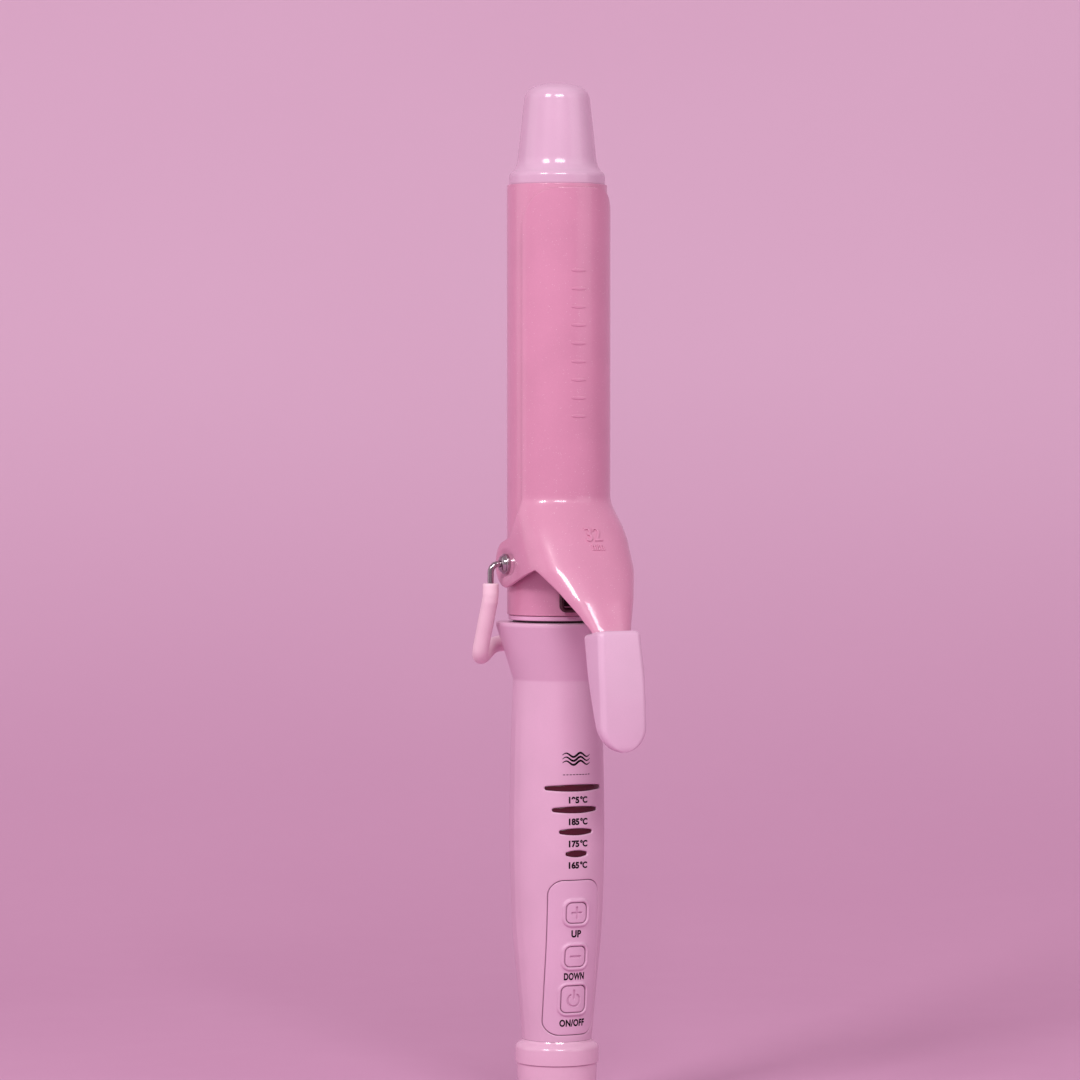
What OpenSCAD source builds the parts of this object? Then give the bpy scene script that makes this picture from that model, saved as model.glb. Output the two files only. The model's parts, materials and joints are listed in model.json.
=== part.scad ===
// Curling wand with a sprung clamp, a swing-out wire stand and a swivel end.
// It stands upright along +Z on its swivel end. Its clamp and controls face -Y.

/* [Barrel] */
// Outer diameter of the heated barrel
barrel_d = 32; // [31.6:0.1:32.4]
// Wall of the barrel tube
barrel_wall = 1.2; // [1:0.1:1.4]
// Height at which the barrel starts
barrel_z0 = 161.2; // [161:0.1:161.4]
// Height at which the barrel ends and the cool tip starts
barrel_z1 = 298; // [297:0.5:300]
// Length of the cool tip beyond the barrel
tip_len = 32.6; // [31:0.1:33]

/* [Handle] */
// Greatest radius of the grip
grip_r = 15.15; // [14.8:0.05:15.5]
// Radius of the grip's lower end
grip_end_r = 11.1; // [11:0.05:11.3]
// Height of the grip's lower end
grip_z0 = 25.4; // [25.3:0.1:25.5]
// Height of the flat face on top of the collar
collar_z = 158.9; // [158.8:0.05:159]
// Radius of the collar's rim
collar_r = 19.5; // [19.2:0.1:19.6]
// Wall of the handle shells
shell_wall = 2.2; // [2.1:0.05:2.3]

/* [Clamp] */
// Height of the clamp's and the stand's pivot
pivot_z = 177.5; // [177.4:0.1:177.6]
// Half of the paddle's angle around the barrel
paddle_half_angle = 65.7; // [62:0.1:68]
// Height of the paddle's top edge
paddle_top = 296.4; // [294:0.1:296.5]
// Radius of the paddle's top corners
paddle_corner = 12.5; // [11:0.5:14]
// Sheet thickness on the paddle
paddle_t = 0.8; // [0.7:0.05:0.9]
// Sheet thickness on the lever
lever_t = 1.2; // [1.1:0.05:1.3]
// Radius of the rounded ears
ear_r = 7.2; // [7:0.1:7.4]
// Half of the distance over the ears
ear_x = 18.3; // [18.2:0.05:18.35]

/* [Stand] */
// Diameter of the stand's wire
wire_d = 2; // [1.9:0.05:2.05]
// Outer diameter of the soft sleeve
sleeve_d = 5.1; // [4.8:0.1:5.2]
// Half of the distance between the stand's legs
leg_x = 23.3; // [23.1:0.1:23.6]

/* [Controls] */
// Width of the control panel
panel_w = 17.6; // [17:0.1:18]
// Travel of each button
button_travel = 0.6; // [0.4:0.1:0.7]

/* [Swivel] */
// Radius of the cord's inlet
inlet_r = 3.4; // [3.2:0.1:3.6]
// Depth of the cord's inlet
inlet_depth = 12; // [10:1:13]

/* [Hidden] */
$fn = 96;
eps = 0.01;
// Clearance between a turning pin and its bore
run = 0.05;
// Clearance around a part that only has to drop in
gap = 0.15;

// ---------- curves ----------

// Index of the span of the knots k that holds x
function span(k, x, i = 0) = (i >= len(k) - 2 || x <= k[i + 1][0]) ? i : span(k, x, i + 1);
// Slope of the smooth curve through the knots k at knot i
function slope(k, i) =
    let (a = k[max(i - 1, 0)], b = k[min(i + 1, len(k) - 1)])
    (b[1] - a[1]) / (b[0] - a[0]);
// Smooth curve through the knots k, each [x, value] with rising x, at x
function curve(k, x) =
    let (
        i = span(k, x),
        h = k[i + 1][0] - k[i][0],
        t = (x - k[i][0]) / h,
        m0 = slope(k, i) * h,
        m1 = slope(k, i + 1) * h
    )
    (2 * t ^ 3 - 3 * t ^ 2 + 1) * k[i][1] + (t ^ 3 - 2 * t ^ 2 + t) * m0
    + (3 * t ^ 2 - 2 * t ^ 3) * k[i + 1][1] + (t ^ 3 - t ^ 2) * m1;
// 0 below lo, 1 above hi, and a smooth step between
function step01(lo, hi, x) =
    let (t = max(0, min(1, (x - lo) / (hi - lo))))
    t * t * (3 - 2 * t);
function unit(v) = v / norm(v);
function mirrored(p) = [-p[0], p[1], p[2]];
function reversed(p) = [for (i = [len(p) - 1:-1:0]) p[i]];
// Points on an arc about c, from angle a0 to a1
function arc(c, r, a0, a1, n) =
    [for (i = [0:n]) c + r * [cos(a0 + (a1 - a0) * i / n), sin(a0 + (a1 - a0) * i / n)]];
// A quadratic curve from a to c that is pulled towards b
function bend(a, b, c, n) =
    [for (i = [0:n]) let (t = i / n) (1 - t) ^ 2 * a + 2 * t * (1 - t) * b + t ^ 2 * c];

// ---------- swept wires ----------

// A bend of radius r at the corner b of the path a, b, c, as n + 1 points
function corner(a, b, c, r, n) =
    let (
        u = unit(a - b),
        v = unit(c - b),
        half = acos(u * v) / 2,
        reach = r / tan(half),
        centre = b + unit(u + v) * r / sin(half),
        p = b + u * reach - centre,
        q = b + v * reach - centre,
        turn = 180 - 2 * half
    )
    [for (i = [0:n]) centre + (p * sin(turn * (1 - i / n)) + q * sin(turn * i / n)) / sin(turn)];
// The path through pts with every inner corner rounded to radius r
function rounded_path(pts, r, n) = [
    pts[0],
    for (i = [1:len(pts) - 2]) each corner(pts[i - 1], pts[i], pts[i + 1], r, n),
    pts[len(pts) - 1]
];
function tangent(p, i) = unit(p[min(i + 1, len(p) - 1)] - p[max(i - 1, 0)]);
// A direction square to the tangent t that turns as little as possible from n
function carried(n, t) = unit(n - (n * t) * t);
// One direction across the path at each of its points, starting from n0
function across(p, n0) =
    [for (i = 0, n = carried(n0, tangent(p, 0)); i < len(p);
          i = i + 1, n = carried(n, tangent(p, min(i, len(p) - 1)))) n];
// A round bar of radius r along the path p
module swept(p, r, sides, n0) {
    a = across(p, n0);
    m = len(p);
    points = [
        for (i = [0:m - 1], j = [0:sides - 1])
            let (w = 360 * j / sides, b = cross(tangent(p, i), a[i]))
            p[i] + r * (cos(w) * a[i] + sin(w) * b)
    ];
    faces = [
        [for (j = [0:sides - 1]) j],
        for (i = [0:m - 2], j = [0:sides - 1])
            let (k = (j + 1) % sides)
            [i * sides + j, (i + 1) * sides + j, (i + 1) * sides + k, i * sides + k],
        [for (j = [sides - 1:-1:0]) (m - 1) * sides + j]
    ];
    polyhedron(points, faces);
}

// ---------- shared shapes ----------

// A rounded rectangle in the plane, with square edges along X and Y
module rounded_rect(w, h, r) {
    square([w - 2 * r, h], center = true);
    square([w, h - 2 * r], center = true);
    for (x = [-1, 1], y = [-1, 1])
        translate([x * (w / 2 - r), y * (h / 2 - r)])
            circle(r);
}
// A prism that looks along -Y, from y0 to y1, with its outline's centre at height z
module facing(z, y0, y1) {
    translate([0, y1, z])
        rotate([90, 0, 0])
            linear_extrude(y1 - y0)
                children();
}
module along_x(x0, x1, r) {
    translate([x0, 0, 0])
        rotate([0, 90, 0])
            cylinder(h = x1 - x0, r = r);
}
module along_y(y0, y1, r) {
    translate([0, y0, 0])
        rotate([-90, 0, 0])
            cylinder(h = y1 - y0, r = r);
}

// ---------- barrel and tip ----------

barrel_r = barrel_d / 2;
bore_r = barrel_r - barrel_wall;
tip_rim_r = barrel_r - 0.65;
tip_neck_r = 12.5;
tip_top = barrel_z1 + tip_len;
// Outer outline of the cool tip: rim, hollow flare, tapered side, rounded shoulder and shallow dome
function tip_outline(inset) = concat(
    [[tip_rim_r - inset, barrel_z1]],
    bend([tip_rim_r - inset, barrel_z1 + 3.2], [tip_neck_r + 0.2 - inset, barrel_z1 + 5],
         [tip_neck_r - inset, barrel_z1 + 9], 8),
    bend([10.55 - inset, tip_top - 5.4], [10.2 - inset, tip_top - 2.1 - inset / 2],
         [6.4 - inset / 2, tip_top - 0.6 - inset], 8),
    bend([5.6 - inset / 2, tip_top - 0.45 - inset], [3, tip_top - inset], [0, tip_top - inset], 4)
);

module cool_tip() {
    wall = 2;
    spigot = 6;
    color("pink")
    difference() {
        union() {
            rotate_extrude()
                polygon(concat([[0, barrel_z1]], tip_outline(0)));
            translate([0, 0, barrel_z1 - spigot])
                cylinder(h = spigot + eps, r = bore_r - run);
        }
        difference() {
            union() {
                rotate_extrude()
                    polygon(concat([[0, barrel_z1]], tip_outline(wall)));
                translate([0, 0, barrel_z1 - spigot - eps])
                    cylinder(h = spigot + 2 * eps, r = tip_rim_r - wall);
            }
            translate([0, 0, barrel_z1 - spigot])
                cylinder(h = tip_len + spigot, r = 3.4);
        }
        translate([0, 0, barrel_z1 - spigot - eps])
            cylinder(h = 14, r = 1.3);
    }
}

insulator_z = barrel_z1 - 14;
module tip_insulator() {
    color("tan")
    difference() {
        translate([0, 0, insulator_z])
            cylinder(h = 8, r = bore_r - run);
        translate([0, 0, insulator_z - eps])
            cylinder(h = 9, r = 1.6);
        translate([0, 0, insulator_z - eps])
            cylinder(h = 3 + 2 * eps, r = 3.2);
    }
}

module tip_screw() {
    color("silver") {
        translate([0, 0, insulator_z + 0.6])
            cylinder(h = 2.4, r = 2.9);
        translate([0, 0, insulator_z + 2])
            cylinder(h = 14, r = 1.3);
    }
}

module barrel() {
    color("hotpink")
    difference() {
        translate([0, 0, barrel_z0])
            cylinder(h = barrel_z1 - barrel_z0, r = barrel_r);
        translate([0, 0, barrel_z0 - 1])
            cylinder(h = barrel_z1 - barrel_z0 + 2, r = bore_r);
        translate([0, 0, pivot_z])
            along_x(-barrel_r - 1, barrel_r + 1, shank_r);
    }
}

module barrel_ring() {
    color("lavenderblush")
    translate([0, 0, seat_z + seat_gap])
        difference() {
            cylinder(h = barrel_z0 - seat_z - seat_gap, r = barrel_r - 0.5);
            translate([0, 0, -1])
                cylinder(h = 4, r = bore_r);
        }
}

// The dark seat joins the barrel to the handle. Its flange is trapped inside the collar.
seat_z = collar_z;
seat_gap = 0.7;
seat_hole_r = 13.45;
module barrel_seat() {
    bore = 11;
    color("dimgray")
    rotate_extrude()
        polygon([
            [bore, 148], [13.4, 148], [13.4, 153.4], [15, 153.4],
            [15, collar_z - shell_wall - run], [13.4, collar_z - shell_wall - run],
            [13.4, seat_z + eps], [14.2, seat_z + eps], [14.2, seat_z + seat_gap],
            [bore_r - run, seat_z + seat_gap], [bore_r - run, 171], [bore, 171]
        ]);
}

// ---------- heater ----------

heater_z0 = 200;
heater_z1 = 272;
heater_t = 3;
spreader_z0 = 196;
spreader_z1 = 280;
// One half-round spreader that fills the bore from the plane y = from outwards, in direction side
module spreader(from, side) {
    wall = 2;
    difference() {
        translate([0, 0, spreader_z0])
            cylinder(h = spreader_z1 - spreader_z0, r = bore_r - 0.1);
        translate([0, side * (from - 20), spreader_z0 + 50])
            cube([40, 40, 120], center = true);
        difference() {
            translate([0, 0, spreader_z0 - 1])
                cylinder(h = spreader_z1 - spreader_z0 + 2, r = bore_r - 0.1 - wall);
            translate([0, side * (from + wall - 20), spreader_z0 + 50])
                cube([40, 40, 120], center = true);
        }
    }
}

module heat_spreader_front() {
    color("silver")
        spreader(heater_t / 2, -1);
}

spring_room = 1.4;
module heat_spreader_back() {
    color("silver")
        spreader(heater_t / 2 + spring_room, 1);
}

module heater_plate() {
    color("wheat") {
        translate([-9, -heater_t / 2, heater_z0])
            cube([18, heater_t, heater_z1 - heater_z0]);
        for (x = [-5, 5])
            translate([x - 1.5, -0.4, heater_z0 - 6])
                cube([3, 0.8, 7]);
    }
}

// A leaf that bows between the heater and the back spreader
module spreader_spring() {
    t = 0.3;
    bow = spring_room - t;
    leaf = [for (i = [0:12]) let (w = i / 12) [(w - 0.5) * 16, bow * (1 - (2 * w - 1) ^ 2)]];
    back = [for (i = [12:-1:0]) leaf[i] + [0, t]];
    color("slategray")
    translate([0, heater_t / 2, heater_z0 + 4])
        linear_extrude(heater_z1 - heater_z0 - 8)
            polygon(concat(leaf, back));
}

module temperature_sensor() {
    color("orange")
    translate([3, -heater_t / 2 - 2 - 1.2, 236])
        cylinder(h = 9, r = 1.2);
}

module thermal_fuse() {
    color("gainsboro")
    translate([-4, heater_t / 2 + spring_room + 2 + 2, 212]) {
        cylinder(h = 10, r = 2);
        translate([0, 0, -5])
            cylinder(h = 6, r = 0.5);
    }
}

// Two sleeved wires from the board to the heater's tabs
module heater_leads() {
    color("white")
    for (side = [-1, 1])
        swept(
            rounded_path([
                [side * 5, -1.1, 103],
                [side * 5, -1.1, 116],
                [side * 5, 7, 138],
                [side * 5, 7.5, 186],
                [side * 5, 1.2, 193],
                [side * 5, 1.2, 199]
            ], 3, 3),
            0.75, 8, [1, 0, 0]
        );
}

// ---------- hinge ----------

shank_r = 2.2;
head_r = 3.25;
head_x = ear_x + 0.1;
head_end = ear_x + 1.8;
wire_r = wire_d / 2;
module hinge_anchor() {
    color("gray")
    difference() {
        intersection() {
            translate([-bore_r, -4, pivot_z - 4])
                cube([2 * bore_r, 8, 8]);
            translate([0, 0, pivot_z - 5])
                cylinder(h = 10, r = bore_r - run);
        }
        translate([0, 0, pivot_z])
            along_x(-bore_r - 1, bore_r + 1, shank_r);
        translate([-9, -2.6, pivot_z - 5])
            cube([18, 5.2, 10]);
    }
}

module hinge_washers() {
    color("white")
    for (side = [0, 180])
        rotate([0, 0, side])
            translate([0, 0, pivot_z])
                difference() {
                    along_x(barrel_r + 0.02, ear_x - lever_t - 0.1, 3.6);
                    along_x(barrel_r - 1, ear_x, shank_r);
                }
}

// A domed bush on the +X side. Its shank carries the clamp's ear, and its bore holds the wire's end.
module hinge_bush() {
    dome = [for (i = [0:8]) [
        1.55 + (head_r - 0.35 - 1.55) * cos(90 * i / 8),
        head_x + 0.6 + (head_end - head_x - 0.6) * sin(90 * i / 8)
    ]];
    translate([0, 0, pivot_z])
        rotate([0, 90, 0])
            difference() {
                rotate_extrude()
                    polygon(concat(
                        [[0, 11], [shank_r, 11], [shank_r, head_x], [head_r, head_x], [head_r, head_x + 0.5]],
                        dome,
                        [[0, head_end]]
                    ));
                translate([0, 0, 16.5])
                    cylinder(h = 10, r = wire_r + run);
            }
}

module hinge_bush_right() {
    color("whitesmoke")
        hinge_bush();
}

module hinge_bush_left() {
    color("whitesmoke")
        mirror([1, 0, 0])
            hinge_bush();
}

// ---------- clamp spring ----------

spring_wire_r = 0.75;
coil_r = 2;
loop_x = 6.4;
loop_y = -barrel_r - 1;
loop_z = 163.2;
coil_z = 178;
coil_y = loop_y - coil_r;
coil_turns = 2;
coil_pitch = 1.65;
foot_x = loop_x - coil_turns * coil_pitch;
foot_angle = 55;
foot_length = 14.5;
// Half of the double torsion spring, from the middle of its loop to the foot under the lever
function half_spring() =
    let (
        steps = 16 * coil_turns,
        sweep = 360 * coil_turns - 180 - foot_angle,
        last = [foot_x, coil_y - coil_r * cos(foot_angle), coil_z + coil_r * sin(foot_angle)],
        down = [0, -sin(foot_angle), -cos(foot_angle)]
    )
    [
        [0, loop_y, loop_z],
        each corner([0, loop_y, loop_z], [loop_x, loop_y, loop_z], [loop_x, loop_y, coil_z], 1.5, 4),
        for (i = [0:steps])
            let (w = sweep * i / steps)
            [
                loop_x + (foot_x - loop_x) * i / steps,
                coil_y + coil_r * cos(w),
                coil_z + coil_r * sin(w)
            ],
        last + foot_length * down
    ];
module clamp_spring() {
    half = half_spring();
    other = [for (i = [len(half) - 1:-1:1]) mirrored(half[i])];
    color("dimgray")
        swept(concat(other, half), spring_wire_r, 8, [1, 0, 0]);
}

module spring_pin() {
    color("silver")
    translate([0, coil_y, coil_z])
        along_x(-loop_x - 1.2, loop_x + 1.2, 1.2);
}

// A plate on the barrel's front with two lugs for the spring's pin
module spring_plate() {
    half_w = 5.2;
    t = 0.6;
    lug_t = 1;
    color("black")
    difference() {
        union() {
            intersection() {
                difference() {
                    translate([0, 0, 164.4])
                        cylinder(h = 20, r = barrel_r + t);
                    translate([0, 0, 160])
                        cylinder(h = 30, r = barrel_r);
                }
                translate([-half_w, -barrel_r - 2, 160])
                    cube([2 * half_w, 8, 30]);
            }
            for (x = [-2.1, 1.1])
                intersection() {
                    union() {
                        translate([x, coil_y, coil_z])
                            along_x(0, lug_t, 2.2);
                        translate([x, coil_y, coil_z - 2.2])
                            cube([lug_t, 6, 4.4]);
                    }
                    difference() {
                        translate([-20, -40, 150])
                            cube(60);
                        translate([0, 0, 150])
                            cylinder(h = 60, r = barrel_r);
                    }
                }
        }
        translate([0, coil_y, coil_z])
            along_x(-loop_x, loop_x, 1.2);
    }
}

// ---------- clamp ----------

paddle_r = barrel_r + 0.25 + paddle_t;
crease_z = 197.5;
ear_top = pivot_z + ear_r;
// Every section of the clamp's outer face is an arch around a centre that moves forwards down the lever.
// Distance of the outer face in front of the axis, by height
front_knots = [
    [138, 44.8], [150, 43.5], [157, 42.2], [160.3, 40.7], [162.5, 39.6], [164.6, 38.6], [167.3, 37.2],
    [172.3, 34], [178.8, 29.5], [187.8, 23.5], [193.3, 19.9], [195.8, 18.2], [crease_z - 0.1, paddle_r + 0.22],
    [crease_z + 1.1, paddle_r + 0.01], [crease_z + 2.1, paddle_r]
];
// Distance of the section's centre in front of the axis, by height
centre_knots = [
    [138, 39.3], [150, 37.5], [157, 35.7], [160.3, 31.2], [162.5, 28.7], [164.6, 25], [167.3, 20.6],
    [169.6, 16.7], [172.8, 12], [176, 9.7], [180, 8.4], [184.7, 7], [190, 3.9], [194, 1.3],
    [crease_z, 0.15], [crease_z + 2.5, 0], [crease_z + 5.5, 0]
];
// Half of the section's full width below the ears, by height
side_knots = [
    [138, 6.9], [150, 7.25], [157, 7.6], [160.3, 9.4], [162.5, 10.6], [164.6, 11.95], [167.3, 13.7],
    [169.6, 15.06], [172.8, 16.9], [176, 18.1], [180, ear_x], [190, ear_x]
];
// Half of the lever's width, by height
width_knots = [
    [138, 6], [150, 6.3], [157, 6.6], [160.3, 8.2], [162.5, 9.2], [164.6, 10.4], [167.3, 11.9],
    [169.6, 13.1], [172.8, 15.05], [176.2, 17.1]
];
notch_z = 176.2;
lever_end = 139;
lever_tip_r = 6;
// Depth of the arch behind its centre, large enough to keep the ears flat
back_depth = 90;
function front_d(z) = z > crease_z + 2 ? paddle_r : curve(front_knots, z);
function centre_d(z) = z > crease_z + 2.5 ? 0 : curve(centre_knots, z);
function lever_side(z) = z > 180 ? ear_x : curve(side_knots, z);
// The section's half width at the angle w: the lever's in front, and the ears' from about a right angle on
function side_x(w, z) =
    z > ear_top
    ? ear_x + (paddle_r - ear_x) * step01(ear_top, crease_z, z)
    : lever_side(z) + (ear_x - lever_side(z)) * step01(62, 84, abs(w));
function fullness(z) = 2.6 - 0.6 * step01(188, crease_z + 2, z);
function face_r(w, z) =
    let (n = fullness(z), depth = abs(w) > 90 ? back_depth : front_d(z) - centre_d(z))
    (abs(sin(w) / side_x(w, z)) ^ n + abs(cos(w) / depth) ^ n) ^ (-1 / n);
function face(w, z) = [face_r(w, z) * sin(w), -centre_d(z) - face_r(w, z) * cos(w), z];
function face_normal(w, z) =
    unit(cross(face(w + 0.5, z) - face(w - 0.5, z), face(w, z + 0.1) - face(w, z - 0.1)));
function sheet_t(z) = lever_t + (paddle_t - lever_t) * step01(ear_top, crease_z + 4, z);
// Angle about the centre of the point of the section at height z whose y is y, or whose x is x
function angle_at_y(y, z) =
    let (
        n = fullness(z),
        d = y + centre_d(z),
        depth = d > 0 ? back_depth : front_d(z) - centre_d(z),
        side = side_x(90 + atan2(d, ear_x), z)
    )
    90 + atan2(d, side * (1 - abs(d / depth) ^ n) ^ (1 / n));
function angle_at_x(x, z) =
    let (n = fullness(z))
    atan2(x, (front_d(z) - centre_d(z)) * (1 - abs(x / side_x(0, z)) ^ n) ^ (1 / n));

// The sheet's edge as rows [angle at the edge, height at the edge, height on the centre line]
paddle_half_w = paddle_r * paddle_half_angle * PI / 180;
paddle_y = -paddle_r * cos(paddle_half_angle);
foot_tilt = 16;
function paddle_rows() = [
    for (w = [90:-15:0])
        let (
            z = paddle_top - paddle_corner * (1 - sin(w)),
            half = paddle_half_w - paddle_corner * (1 - cos(w))
        )
        [half / paddle_r * 180 / PI, z, z],
    for (z = [270, 245, 220, 205, 201])
        [paddle_half_angle, z, z]
];
function neck_rows() = [
    for (p = bend([paddle_y, crease_z], [paddle_y + 1.4, ear_top + 0.5], [0, ear_top], 6))
        let (t = (crease_z - p[1]) / (crease_z - ear_top))
        [angle_at_y(p[0], p[1]), p[1], crease_z - 6.5 * t]
];
function ear_rows() = [
    for (i = [1:12])
        let (
            w = 90 - (180 + foot_tilt) * i / 12,
            y = ear_r * cos(w),
            z = pivot_z + ear_r * sin(w)
        )
        [angle_at_y(y, z), z, crease_z - 6.5 - 7 * i / 12]
];
function notch_rows() =
    let (
        start = [-ear_r * sin(foot_tilt), pivot_z - ear_r * cos(foot_tilt)],
        apex_w = angle_at_x(curve(width_knots, notch_z), notch_z),
        end = [face(apex_w, notch_z)[1], notch_z]
    )
    [
        for (i = [1:5])
            let (p = start + (end - start) * i / 5)
            [angle_at_y(p[0], p[1]), p[1], crease_z - 13.5 - 4.7 * i / 5]
    ];
function lever_rows() = [
    for (z = [175.6, 174.9, 174, 172.8, 171, 169, 167, 164.5, 161.5, 158, 153, 149])
        [angle_at_x(curve(width_knots, z), z), z, z + 3.1 * step01(155, 176, z)],
    for (w = [0:18:90])
        let (z = lever_end + lever_tip_r * (1 - sin(w)))
        [angle_at_x(curve(width_knots, 145) * max(cos(w), 0.35), z), z, z]
];
module clamp_sheet() {
    half_cols = 12;
    cols = 2 * half_cols + 1;
    rows = concat(paddle_rows(), neck_rows(), ear_rows(), notch_rows(), lever_rows());
    m = len(rows);
    at = [
        for (row = rows, j = [-half_cols:half_cols])
            let (u = j / half_cols)
            [row[0] * u, row[2] + (row[1] - row[2]) * u * u]
    ];
    outer = [for (p = at) face(p[0], p[1])];
    inner = [for (p = at) face(p[0], p[1]) - sheet_t(p[1]) * face_normal(p[0], p[1])];
    k = m * cols;
    faces = [
        for (i = [0:m - 2], j = [0:cols - 2])
            let (a = i * cols + j, b = a + cols)
            each [
                [a, a + 1, b], [a + 1, b + 1, b],
                [k + a, k + b, k + a + 1], [k + a + 1, k + b, k + b + 1]
            ],
        for (i = [0:m - 2])
            let (a = i * cols, b = a + cols, c = a + cols - 1, d = b + cols - 1)
            each [
                [a, b, k + a], [b, k + b, k + a],
                [c, k + c, d], [d, k + c, k + d]
            ],
        for (j = [0:cols - 2])
            let (a = j, b = (m - 1) * cols + j)
            each [
                [a, k + a, a + 1], [a + 1, k + a, k + a + 1],
                [b, b + 1, k + b], [b + 1, k + b + 1, k + b]
            ]
    ];
    polyhedron(concat(outer, inner), faces);
}

module clamp() {
    color("hotpink")
    difference() {
        clamp_sheet();
        translate([0, 0, pivot_z])
            along_x(-ear_x - 2, ear_x + 2, shank_r + run);
    }
}

// The cap's front and back faces, as distances in front of the axis by height
cap_top = 157.2;
cap_low = 120.2;
cap_front_knots = [[119, 49.6], [128, 49.6], [141, 48.7], [158, 45.9]];
cap_back_knots = [[119, 46.9], [125.4, 44.4], [132.2, 41.5], [142.5, 37.9], [158, 33.3]];
cap_half_w = 7.9;
// Rows of rounded rectangles, stacked by height
module thumb_cap_body() {
    heights = [
        for (w = [90:-15:0]) cap_low + cap_half_w * (1 - sin(w)),
        132.5, 137, 142, 147, 151.5, cap_top - 0.8, cap_top - 0.25, cap_top
    ];
    shrink = [for (z = heights) z > cap_top - 0.7 ? 0.8 * (z - cap_top + 0.8) ^ 2 / 0.64 : 0];
    half_w = [
        for (i = [0:len(heights) - 1])
            let (z = heights[i], drop = max(0, (cap_low + cap_half_w - z) / cap_half_w))
            (i == 0 ? 2.2 : cap_half_w * sqrt(max(1 - drop ^ 2, 0.08))) - 0.5 * step01(142, cap_top, z)
            - shrink[i]
    ];
    round_n = 4;
    section = [
        for (i = [0:len(heights) - 1])
            let (
                z = heights[i],
                back = curve(cap_back_knots, z) + shrink[i],
                front = curve(cap_front_knots, z) - shrink[i],
                r = min(1.2, (front - back) * 0.42, half_w[i] * 0.8)
            )
            for (c = [[1, 1, 0], [-1, 1, 90], [-1, -1, 180], [1, -1, 270]], j = [0:round_n])
                let (
                    w = c[2] + 90 * j / round_n,
                    y = (c[1] > 0 ? -back - r : -front + r) + r * sin(w)
                )
                [c[0] * (half_w[i] - r) + r * cos(w), y, z + 0.14 * (-y - 40) * step01(140, cap_top, z)]
    ];
    per = 4 * (round_n + 1);
    m = len(heights);
    faces = [
        [for (j = [0:per - 1]) j],
        for (i = [0:m - 2], j = [0:per - 1])
            let (k = (j + 1) % per)
            each [
                [i * per + j, (i + 1) * per + j, i * per + k],
                [i * per + k, (i + 1) * per + j, (i + 1) * per + k]
            ],
        [for (j = [per - 1:-1:0]) (m - 1) * per + j]
    ];
    polyhedron(section, faces);
}

module thumb_cap() {
    color("pink")
    difference() {
        thumb_cap_body();
        clamp_sheet();
    }
}

// ---------- stand ----------

sleeve_top = 171.4;
stand_corner = [leg_x, 9.3, 146.8];
stand_back = [12.5, 20.9, 151.2];
stand_bend_x = leg_x - 2.6;
// Centre line of the stand from the +X end, down the leg, around the back and up to the -X end
function stand_path() =
    let (
        knee = [leg_x, 0, 167],
        top = [leg_x, 0, pivot_z],
        down = concat(
            [[stand_bend_x - 0.6, 0, pivot_z]],
            corner([0, 0, pivot_z], top, knee, 2.59, 6),
            corner(top, knee, stand_corner, 8, 4),
            corner(knee, stand_corner, stand_back, 4.2, 6),
            corner(stand_corner, stand_back, mirrored(stand_back), 9, 5)
        )
    )
    concat(down, [for (p = reversed(down)) mirrored(p)]);
function below(path, z) = [for (p = path) if (p[2] < z) p];

// The bent wire is a hair thinner than its straight ends, which turn in the bushes
module stand_wire() {
    thinner = 0.02;
    color("silver") {
        swept(stand_path(), wire_r - thinner, 12, [0, 1, 0]);
        for (side = [0, 180])
            rotate([0, 0, side])
                translate([0, 0, pivot_z])
                    along_x(ear_x - 1.3, stand_bend_x, wire_r);
    }
}

module stand_sleeve() {
    inside = below(stand_path(), sleeve_top);
    covered = concat(
        [[leg_x, 0, sleeve_top]],
        inside,
        [[-leg_x, 0, sleeve_top]]
    );
    ends = [
        for (p = covered) p[2] == sleeve_top ? p + [0, 0, 0.5] : p
    ];
    color("lightpink")
    difference() {
        swept(covered, sleeve_d / 2, 16, [0, 1, 0]);
        swept(ends, wire_r + 0.02, 12, [0, 1, 0]);
    }
}

// ---------- handle ----------

grip_knots = [
    [grip_z0, grip_end_r], [42, 12.57], [60, grip_r - 0.95], [78, grip_r - 0.22], [98, grip_r],
    [127, grip_r - 0.6], [140.5, grip_r - 1.15]
];
cone_z0 = 140.5;
grip_step = (cone_z0 - grip_z0) / 24;
// The grip's radius at height z. Every outline below follows the same short straight steps.
function grip(z) =
    let (
        i = floor((z - grip_z0) / grip_step + 0.001),
        z_low = grip_z0 + i * grip_step,
        t = (z - z_low) / grip_step
    )
    curve(grip_knots, z_low) * (1 - t) + curve(grip_knots, min(z_low + grip_step, cone_z0)) * t;
// The grip's outline from z0 up to z1, moved inwards by inset
function grip_line(z0, z1, inset) = [
    [grip(z0) - inset, z0],
    for (z = [grip_z0:grip_step:cone_z0 - 1]) if (z > z0 + 0.05 && z < z1 - 0.05) [grip(z) - inset, z],
    [grip(z1) - inset, z1]
];
// One half of the handle's shell on the +Y side
module half_shell() {
    rim = 1;
    cone_r = grip(cone_z0);
    outer = concat(
        grip_line(grip_z0, cone_z0, 0),
        arc([collar_r - rim, collar_z - rim], rim, -16, 90, 5)
    );
    inner = concat(
        [[seat_hole_r, collar_z], [seat_hole_r, collar_z - shell_wall]],
        [[collar_r - shell_wall - 0.9, collar_z - shell_wall], [cone_r - shell_wall, cone_z0 + 0.8]],
        reversed(grip_line(grip_z0 + 2, cone_z0 - 0.5, shell_wall)),
        [[8.55, grip_z0 + 2], [8.55, grip_z0]]
    );
    rotate_extrude(angle = 180)
        polygon(concat(outer, inner));
}
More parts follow.
